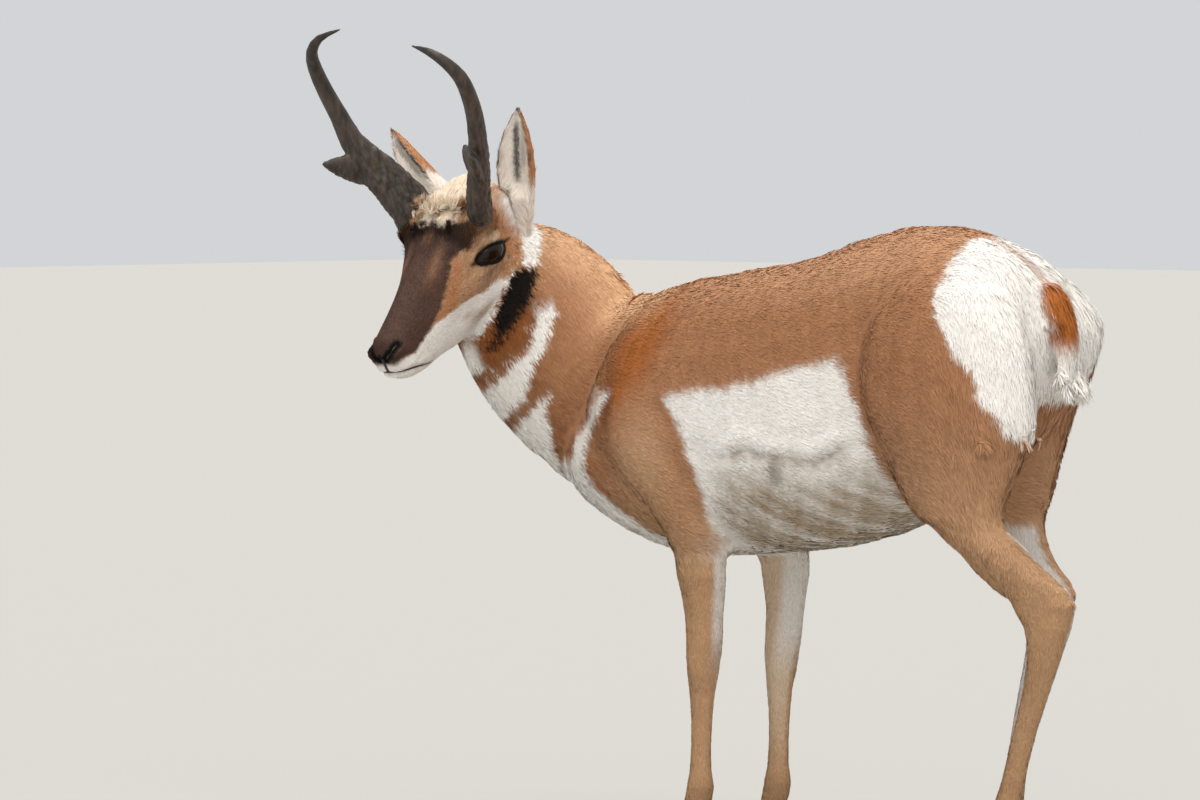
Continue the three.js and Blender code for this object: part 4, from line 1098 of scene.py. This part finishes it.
def makeEyeBall(side, material):
    centre, face, along, up = eyeFrame(side)
    ball = ballOf(np.zeros(3), eyeShape["ball"])
    ex, ey, deep = ball[:, 0], ball[:, 1], ball[:, 2]
    ex = np.where(ex > 0, ex * eyeShape["ahead"] / eyeShape["ball"], ex)
    local = centre + along * ex[:, None] + up * ey[:, None] + face * deep[:, None]
    ring = np.sqrt(((ex - 2) / 19) ** 2 + (ey / 14.5) ** 2)
    pupil = np.sqrt(((ex - 2) / 12) ** 2 + (ey / 6) ** 2)
    colour = np.tile(tone(30, 21, 17), (len(local), 1))
    colour = mix(colour, tone(30, 17, 11), smooth(1.0 - ring, 0, 0.2))
    colour = mix(colour, tone(5, 4, 5), smooth(1.1 - pupil, 0, 0.25))
    triangles = gridTriangles(40, 64)
    points = headPoints(local)
    triangles = facingOut(points, triangles, points.mean(0))
    piece = addPiece("eyeBall_%s" % ("left" if side > 0 else "right"), points, triangles, material, colour)
    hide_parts("eye_left" if side > 0 else "eye_right")


def openingOutline(turn, grow=0.0):
    ahead = np.cos(turn) > 0
    x = (np.where(ahead, eyeShape["longAhead"], eyeShape["long"]) + grow) * np.cos(turn)
    high = np.sin(turn) > 0
    tall = np.where(high, eyeShape["tall"], eyeShape["tall"] * 0.9) + grow
    y = tall * np.sin(turn) * (1 - 0.22 * np.cos(turn) ** 2) - 2.6 * smooth(np.cos(turn), 0.5, 1.0)
    return x, y


# How far each row of the lid stands outside the opening, above the eye, and how much of it follows the skin.
lidRows = [(-0.9, -0.8, 0), (-0.5, 0.7, 0), (0.3, 1.7, 0), (1.6, 2.4, 0), (3.2, 2.6, 0.05), (5, 2.2, 0.3),
           (7, 2.2, 0.6), (9.5, 1.6, 0.85), (12.5, 0.9, 1), (16, 0.0, 1), (20, -2.2, 1)]


def skinDeepAt(centre, face, along, up, x, y):
    out = np.zeros(len(x))
    way = Vector((headBasis @ -face).tolist())
    for k in range(len(x)):
        start = headPoints(centre + along * x[k] + up * y[k] + face * 60)
        hit = skinTree.ray_cast(Vector(start.tolist()), way, 0.09)
        out[k] = 60 - hit[3] * 1000 if hit[0] is not None else -5
    return out


def makeLids(side, material):
    centre, face, along, up = eyeFrame(side)
    columns = 96
    turn = np.linspace(0, 2 * math.pi, columns, endpoint=False)
    edgeX, edgeY = openingOutline(turn, 1.0)
    edgeDeep = eyeDeep(edgeX, edgeY)
    rows, colours = [], []
    for grow, lift, follow in lidRows:
        x, y = openingOutline(turn, grow)
        upper = smooth(np.sin(turn), 0.1, 0.7)
        onEye = eyeDeep(x, y) if grow < 2 else edgeDeep - (grow - 1) * 0.35
        onSkin = skinDeepAt(centre, face, along, up, x, y)
        for _ in range(3):
            onSkin = (np.roll(onSkin, 1) + np.roll(onSkin, -1) + 2 * onSkin) / 4
        deep = onEye * (1 - follow) + onSkin * follow + lift + 0.8 * upper * (1 < grow < 6) - 1.1 * upper * (grow == 7)
        place = centre + along * x[:, None] + up * y[:, None] + face * deep[:, None]
        rows.append(place)
        outer = headColours(fromHead(place), np.tile(coatTone["cheek"], (columns, 1)))
        dark = smooth(5.5 - grow + 2.0 * (np.cos(turn) > 0.7) + 1.2 * upper, 0, 3.0)
        colours.append(mix(outer * 0.9, tone(20, 14, 11), dark * np.ones(columns)))
    points = headPoints(np.concatenate(rows))
    triangles = gridTriangles(len(lidRows), columns)
    triangles = facingOut(points, triangles, headPoints(centre))
    name = "lids_%s" % ("left" if side > 0 else "right")
    addPiece(name, points, triangles, material, np.concatenate(colours))


def spikes(roots, ways, lengths, widths, across, bend, steps=4):
    rows = []
    for k in range(steps + 1):
        t = k / steps
        centre = roots + ways * (lengths * t)[:, None] + bend * (lengths * t * t)[:, None]
        half = across * (widths * (1 - t) / 2 + 0.00002)[:, None]
        rows += [centre - half, centre + half]
    points = np.stack(rows, 1)
    index = []
    for k in range(steps):
        a, b, c, d = 2 * k, 2 * k + 1, 2 * k + 2, 2 * k + 3
        index += [(a, b, d), (a, d, c)]
    count = len(roots)
    triangles = (np.arange(count)[:, None, None] * (2 * steps + 2) + np.array(index)[None]).reshape(-1, 3)
    return points.reshape(-1, 3), triangles


def makeLashes(side, material):
    centre, face, along, up = eyeFrame(side)
    turn = np.concatenate([rng.uniform(0.25, 2.9, 90), rng.uniform(3.5, 5.9, 26)])
    upper = turn < math.pi
    x, y = openingOutline(turn, 1.0)
    deep = eyeDeep(x, y) + 1.6
    roots = centre + along * x[:, None] + up * y[:, None] + face * deep[:, None]
    out = unit(roots - centre)
    ways = unit(out * 0.9 + along * (0.35 * np.cos(turn) + rng.normal(0, 0.12, len(turn)))[:, None]
                + up * np.where(upper, 0.15, -0.25)[:, None])
    lengths = np.where(upper, rng.uniform(9, 15, len(turn)), rng.uniform(4, 6, len(turn))) / 1000
    bend = np.where(upper[:, None], up * 0.32, -up * 0.2) - face * 0.05
    across = unit(np.cross(ways, out + along * 0.6))
    toWorld = lambda v: v @ headBasis.T
    widths = np.full(len(turn), 0.0006)
    points, triangles = spikes(headPoints(roots), toWorld(ways), lengths, widths, toWorld(across), toWorld(bend))
    addPiece("lashes_%s" % ("left" if side > 0 else "right"), points, triangles, material)


skinTree = BVHTree.FromPolygons(skinPoints.tolist(), skinTriangles.tolist())
wetSkin, _, _ = newMaterial("wetSkin", tuple(tone(20, 16, 16)), 0.28)
lashHair, _, _ = newMaterial("lashHair", tuple(tone(16, 11, 9)), 0.5)
lidMaterial = attributeMaterial("lidSkin", "coatTone", 1.0, 0.42)
eyeWet = eyeMaterial()
for side in (1, -1):
    makeEyeBall(side, eyeWet)
    makeLids(side, lidMaterial)
    makeLashes(side, lashHair)
print("eyes, lids and lashes")


# nose and mouth

tubeSizes = {"sides": 10, "steps": 40}


def tubeAlong(line, radii):
    sides, steps = tubeSizes["sides"], tubeSizes["steps"]
    line = np.array(line, dtype=float)
    t = np.linspace(0, len(line) - 1, steps)
    centre = np.stack([np.interp(t, np.arange(len(line)), line[:, k]) for k in range(3)], 1)
    for _ in range(4):
        centre[1:-1] = (centre[:-2] + centre[2:] + 2 * centre[1:-1]) / 4
    radius = np.interp(np.linspace(0, 1, steps), np.linspace(0, 1, len(radii)), radii)
    along = unit(np.gradient(centre, axis=0))
    first = unit(np.cross(along, np.array([0.3, 0.2, 1.0])))
    second = np.cross(along, first)
    turn = np.linspace(0, 2 * math.pi, sides, endpoint=False)
    ring = first[:, None, :] * np.cos(turn)[None, :, None] + second[:, None, :] * np.sin(turn)[None, :, None]
    points = (centre[:, None, :] + ring * radius[:, None, None]).reshape(-1, 3)
    return points, gridTriangles(steps, sides)


def addTube(name, line, radii, material):
    points, triangles = tubeAlong(line, radii)
    world = headPoints(points)
    middle = world.reshape(tubeSizes["steps"], tubeSizes["sides"], 3).mean(1).repeat(tubeSizes["sides"], 0)
    a, b, c = (world[triangles[:, i]] for i in range(3))
    if (np.cross(b - a, c - a) * (a - middle[triangles[:, 0]])).sum() < 0:
        triangles = triangles[:, ::-1]
    addPiece(name, world, triangles, material)


for side in (1, -1):
    flip = np.array([1, side, 1])
    word = "left" if side > 0 else "right"
    addTube("nostril_%s" % word, (nostrilLine - (4.6, 4.4, 3.6)) * flip, (1.6, 3.4, 3.4, 0.8), wetSkin)
fullMouth = np.concatenate([(mouthLine * (1, -1, 1))[::-1][:-1], mouthLine]) - (1.2, 0, 0)
lipSkin, _, _ = newMaterial("lipSkin", tuple(tone(66, 48, 40)), 0.5)
addTube("lipLine", fullMouth, (0.3, 0.8, 1.0, 1.1, 1.0, 0.8, 0.3), lipSkin)
addTube("noseSlit", [(210, 0, -9), (211.6, 0, -16), (213, 0, -24), (212.4, 0, -31)], (2.6, 1.8, 1.4, 0.8), wetSkin)
print("nose and mouth")


# ears

earSizes = {"voxel": 0.0016, "rounds": 5, "inset": 0.0006,
            "hairs": 15000}
earShapes = {
    "left": {"base": (-104, 61, -10), "tip": (-190, 69, 97), "face": (0.76, 0.31, 0.67)},
    "right": {"base": (-103, -68, 9), "tip": (-184, -170, 69), "face": (0.59, -0.48, 0.52)},
}


def smoothCopy(name, nodes, voxel, rounds, material, inset=0.0):
    piece = copyNodes(name, nodes)
    applyModifier(piece, "REMESH", mode="VOXEL", voxel_size=voxel)
    mesh = piece.data
    points, edges = verticesOf(mesh), edgesOf(mesh)
    points = relax(points, edges, len(points), rounds)
    if inset:
        points = points - vertexNormals(points, trianglesOf(mesh)) * inset
    setVertices(mesh, points)
    mesh.polygons.foreach_set("use_smooth", np.ones(len(mesh.polygons), dtype=bool))
    mesh.materials.clear()
    mesh.materials.append(material)
    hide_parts(*nodes)
    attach(piece, "root")
    return piece


def earPlace(body, shape):
    local = toHead(body)
    base, tip, face = (np.array(shape[k], dtype=float) for k in ("base", "tip", "face"))
    axis = tip - base
    s = (local - base) @ axis / (axis @ axis)
    along = axis / np.linalg.norm(axis)
    front = unit(face - along * (face @ along))
    across = np.cross(along, front)
    return s, (local - base) @ across, (local - base) @ front, along, across, front


def earColours(body, normals, shape, side):
    s, aside, _, _, _, front = earPlace(body, shape)
    normal = normals @ headBasis
    inner = smooth(normal @ front, -0.05, 0.35)
    half = np.interp(s, [-0.4, 0, 0.22, 0.38, 0.56, 0.74, 0.9, 1], [9, 20, 26, 28, 26, 20, 10, 3])
    edge = np.abs(aside) / half
    colour = np.tile(tone(178, 128, 88), (len(body), 1))
    colour = mix(colour, tone(196, 150, 108), smooth(s, 0.2, 0.7) * 0.5)
    colour = mix(colour, coatTone["white"], smooth(0.16 - s, -0.08, 0.1) * 0.9)
    cup = np.tile(tone(240, 230, 218), (len(body), 1))
    ragged = wobble(body, 8, 2.2) * 1.6
    streak = np.exp(-(((aside + 3 * side + ragged) / 6.5) ** 2)) * smooth(s, 0.16, 0.34) * smooth(0.95 - s, 0, 0.2)
    cup = mix(cup, tone(58, 50, 48), np.clip(streak * 1.1, 0, 0.9))
    streak = np.exp(-(((aside - 10 * side) / 3.5) ** 2)) * smooth(s, 0.3, 0.5) * smooth(0.9 - s, 0, 0.2)
    cup = mix(cup, tone(110, 94, 84), np.clip(streak, 0, 0.5))
    colour = mix(colour, cup, inner)
    outer = smooth(aside / half, 0.6, 0.76) * smooth(s, 0.1, 0.3)
    colour = mix(colour, tone(176, 116, 66), outer * 0.9)
    rim = np.maximum(smooth(edge, 0.86, 0.98) * (aside < 0), np.exp(-(((aside / half - 0.69) / 0.06) ** 2)) * inner)
    colour = mix(colour, tone(92, 62, 42), rim * smooth(s, 0.25, 0.45) * 0.75)
    return mix(colour, tone(40, 28, 22), smooth(s, 0.86, 1.0) * 0.9), inner, edge, s


def growEarHair(piece, shape, side, count):
    mesh = piece.data
    points, triangles = verticesOf(mesh), trianglesOf(mesh)
    normals = vertexNormals(points, triangles)
    a, b, c = (points[triangles[:, i]] for i in range(3))
    area = np.linalg.norm(np.cross(b - a, c - a), axis=1)
    chosen = np.sort(rng.choice(len(area), count, p=area / area.sum()))
    u, v = rng.random(count), rng.random(count)
    over = u + v > 1
    u[over], v[over] = 1 - u[over], 1 - v[over]
    bary = np.stack([1 - u - v, u, v], 1)[:, :, None]
    root = (points[triangles[chosen]] * bary).sum(1)
    normal = unit((normals[triangles[chosen]] * bary).sum(1))
    body = (root - shift) * 1000
    colour, inner, edge, s = earColours(body, normal, shape, side)
    _, aside, _, along, across, _ = earPlace(body, shape)
    world = lambda v: v @ headBasis.T
    spread = np.sign(aside)[:, None] * world(across)[None, :]
    lie = world(along)[None, :] * (1 - inner * 0.35)[:, None] - spread * (inner * 0.5)[:, None]
    lie = lie + spread * (smooth(edge, 0.8, 1) * 0.25)[:, None]
    lie = unit(lie - normal * (lie * normal).sum(1, keepdims=True))
    tuck = smooth(0.12 - s, -0.1, 0.1)
    length = (0.0052 + 0.007 * inner * smooth(edge, 0.3, 0.9) + 0.006 * tuck) * rng.uniform(0.7, 1.3, count)
    return buildTufts(root, normal, lie, length, np.full(count, 0.0012), colour, body, 0.22), body, s, aside


def earUnwrap(s, aside, side):
    u = 0.66 + 0.13 * (side < 0) + np.clip((aside + 34) / 68, 0, 1) * 0.12
    return np.stack([u, 0.83 + np.clip((s + 0.4) / 1.4, 0, 1) * 0.14], 1)


for side, word in ((1, "left"), (-1, "right")):
    ear = smoothCopy("ear_skin_%s" % word, ["ear_%s" % word], earSizes["voxel"], earSizes["rounds"], shadedSkinMaterial,
                     earSizes["inset"])
    earPoints = verticesOf(ear.data)
    earNormals = vertexNormals(earPoints, trianglesOf(ear.data))
    colour, _, _, _ = earColours((earPoints - shift) * 1000, earNormals, earShapes[word], side)
    setColours(ear.data, colour)
    tufts, body, s, aside = growEarHair(ear, earShapes[word], side, earSizes["hairs"])
    linkCoat(*tufts, earUnwrap(s, aside, side), coatMaterial, "earCoat_%s" % word)
print("ears")


# horns and hooves

hornSizes = {"voxel": 0.0018, "rounds": 6, "ridges": 11, "ridge": 0.75, "grain": 0.8,
             "footLeft": 17.0, "footRight": 10.0}
hoofSizes = {"voxel": 0.0016, "rounds": 4}


def hornMaterial():
    material, tree, shader = newMaterial("hornBark", tuple(tone(60, 50, 44)), 0.5)
    texture = tree.nodes.new("ShaderNodeTexCoord")
    stretch = tree.nodes.new("ShaderNodeMapping")
    stretch.inputs["Scale"].default_value = (1, 1, 0.22)
    noise = tree.nodes.new("ShaderNodeTexNoise")
    noise.inputs["Scale"].default_value = 120
    noise.inputs["Detail"].default_value = 6
    ramp = tree.nodes.new("ShaderNodeValToRGB")
    ramp.color_ramp.elements[0].position = 0.32
    ramp.color_ramp.elements[0].color = (*tone(36, 29, 24), 1)
    ramp.color_ramp.elements[1].position = 0.7
    ramp.color_ramp.elements[1].color = (*tone(82, 67, 55), 1)
    read = tree.nodes.new("ShaderNodeVertexColor")
    read.layer_name = "coatTone"
    blendNode = tree.nodes.new("ShaderNodeMix")
    blendNode.data_type = "RGBA"
    blendNode.blend_type = "MULTIPLY"
    blendNode.inputs["Factor"].default_value = 1
    bump = tree.nodes.new("ShaderNodeBump")
    bump.inputs["Strength"].default_value = 0.5
    bump.inputs["Distance"].default_value = 0.002
    tree.links.new(texture.outputs["Object"], stretch.inputs["Vector"])
    tree.links.new(stretch.outputs["Vector"], noise.inputs["Vector"])
    tree.links.new(noise.outputs["Fac"], ramp.inputs["Fac"])
    tree.links.new(ramp.outputs["Color"], blendNode.inputs["A"])
    tree.links.new(read.outputs["Color"], blendNode.inputs["B"])
    tree.links.new(blendNode.outputs["Result"], shader.inputs["Base Color"])
    tree.links.new(noise.outputs["Fac"], bump.inputs["Height"])
    tree.links.new(bump.outputs["Normal"], shader.inputs["Normal"])
    return material


def flattenFoot(mesh, side):
    points = verticesOf(mesh)
    local = toHead((points - shift) * 1000)
    axis = unit(np.array([-0.16, 0.33 * side, 0.93]))
    high = (local - (-31, 54 * side, 28)) @ axis
    low = hornSizes["footLeft"] if side > 0 else hornSizes["footRight"]
    local = local + axis * np.maximum(low - high, 0)[:, None] * 0.97
    setVertices(mesh, fromHead(local) / 1000 + shift)


def roughenHorn(piece, side):
    mesh = piece.data
    flattenFoot(mesh, side)
    points = verticesOf(mesh)
    normals = vertexNormals(points, trianglesOf(mesh))
    local = toHead((points - shift) * 1000)
    rise = local[:, 2]
    bark = smooth(250 - rise, 0, 170)
    middle = np.interp(rise, [24, 84, 168, 240], np.array([54, 77, 116, 132]) * side)
    turn = np.arctan2(local[:, 1] - middle, local[:, 0] + 45)
    ridges = np.sin(turn * hornSizes["ridges"] + wobble(local * (1, 1, 0.4), 24, 3) * 3.0)
    grain = wobble(local * (1, 1, 0.3), 9, 5) + 0.6 * wobble(local * (1, 1, 0.4), 4.5, 2)
    push = (hornSizes["ridge"] * ridges + hornSizes["grain"] * grain) * bark
    setVertices(mesh, points + normals * (push / 1000)[:, None])
    shade = 1.0 + 0.35 * smooth(ridges, -0.4, 1) * bark - 0.3 * smooth(-ridges, 0.1, 1) * bark
    tip = smooth(rise, 250, 315)
    colour = np.tile(np.array([0.86, 0.84, 0.84]), (len(points), 1)) * shade[:, None]
    colour = mix(colour, np.array([0.55, 0.52, 0.52]), tip)
    # painted highlight: a pale glint near each horn's tip
    far = np.linalg.norm(local - (np.array([-66, 74, 323]) if side > 0 else np.array([-82, -50, 344])), axis=1)
    colour = mix(colour, np.array([1.9, 1.7, 1.5]), smooth(14 - far, 0, 10) * 0.6)
    setColours(mesh, colour)


hornBark = hornMaterial()
for side, word in ((1, "left"), (-1, "right")):
    horn = smoothCopy("horn_smooth_%s" % word, ["horn_%s" % word], hornSizes["voxel"], hornSizes["rounds"],
                      hornBark)
    roughenHorn(horn, side)

hoofHorn, _, _ = newMaterial("hoofHorn", tuple(tone(44, 39, 36)), 0.42)
hoofNodes = ["%shoof_%s_%s" % (a, b, c) for a in ("fore", "hind") for b in ("left", "right") for c in ("near", "far")]
for node in hoofNodes:
    smoothCopy("smooth_" + node, [node], hoofSizes["voxel"], hoofSizes["rounds"], hoofHorn)
print("horns and hooves")

# floor, light and camera

studio = {"lens": 282.7, "sensor": 36, "distance": 13, "target": (-0.198, -0.192, 0.641), "world": 0.75}

floorMesh = bpy.data.meshes.new("floor")
floorMesh.from_pydata([(-30, -30, 0), (30, -30, 0), (30, 30, 0), (-30, 30, 0)], [], [(0, 1, 2, 3)])
floor = link(bpy.data.objects.new("floor", floorMesh))
floorMaterial, _, _ = newMaterial("studioFloor", tuple(tone(176, 174, 169)), 0.9)
floor.data.materials.append(floorMaterial)


def sunLight(name, place, strength, angle, colour):
    lamp = bpy.data.lights.new(name, "SUN")
    lamp.energy = strength
    lamp.angle = math.radians(angle)
    lamp.color = colour
    piece = link(bpy.data.objects.new(name, lamp))
    piece.rotation_euler = Vector(place).to_track_quat("Z", "Y").to_euler()


sunLight("keyLight", (0.5, -0.8, 1.6), 1.9, 40, (1, 0.975, 0.94))
sunLight("fillLight", (0.95, -0.7, 0.05), 0.95, 60, (1, 0.98, 0.95))
sunLight("rimLight", (-0.3, 0.8, 1.7), 1.5, 30, (1, 0.96, 0.9))
world = bpy.data.worlds.new("studio")
world.use_nodes = True
world.node_tree.nodes["Background"].inputs["Color"].default_value = (0.86, 0.88, 0.9, 1)
world.node_tree.nodes["Background"].inputs["Strength"].default_value = studio["world"]
bpy.context.scene.world = world
bpy.context.scene.view_settings.view_transform = "Standard"

targetX, targetY, targetZ = studio["target"]
target = Vector((targetX + shift[0], targetY + shift[1], targetZ))
back = Vector((0.6942, -0.7189, 0.0349))
camera = link(bpy.data.objects.new("camera", bpy.data.cameras.new("camera")))
camera.data.sensor_width = studio["sensor"]
camera.data.lens = studio["lens"]
camera.location = target + back * studio["distance"]
camera.rotation_euler = back.to_track_quat("Z", "Y").to_euler()
bpy.context.scene.camera = camera
print("floor, light and camera")
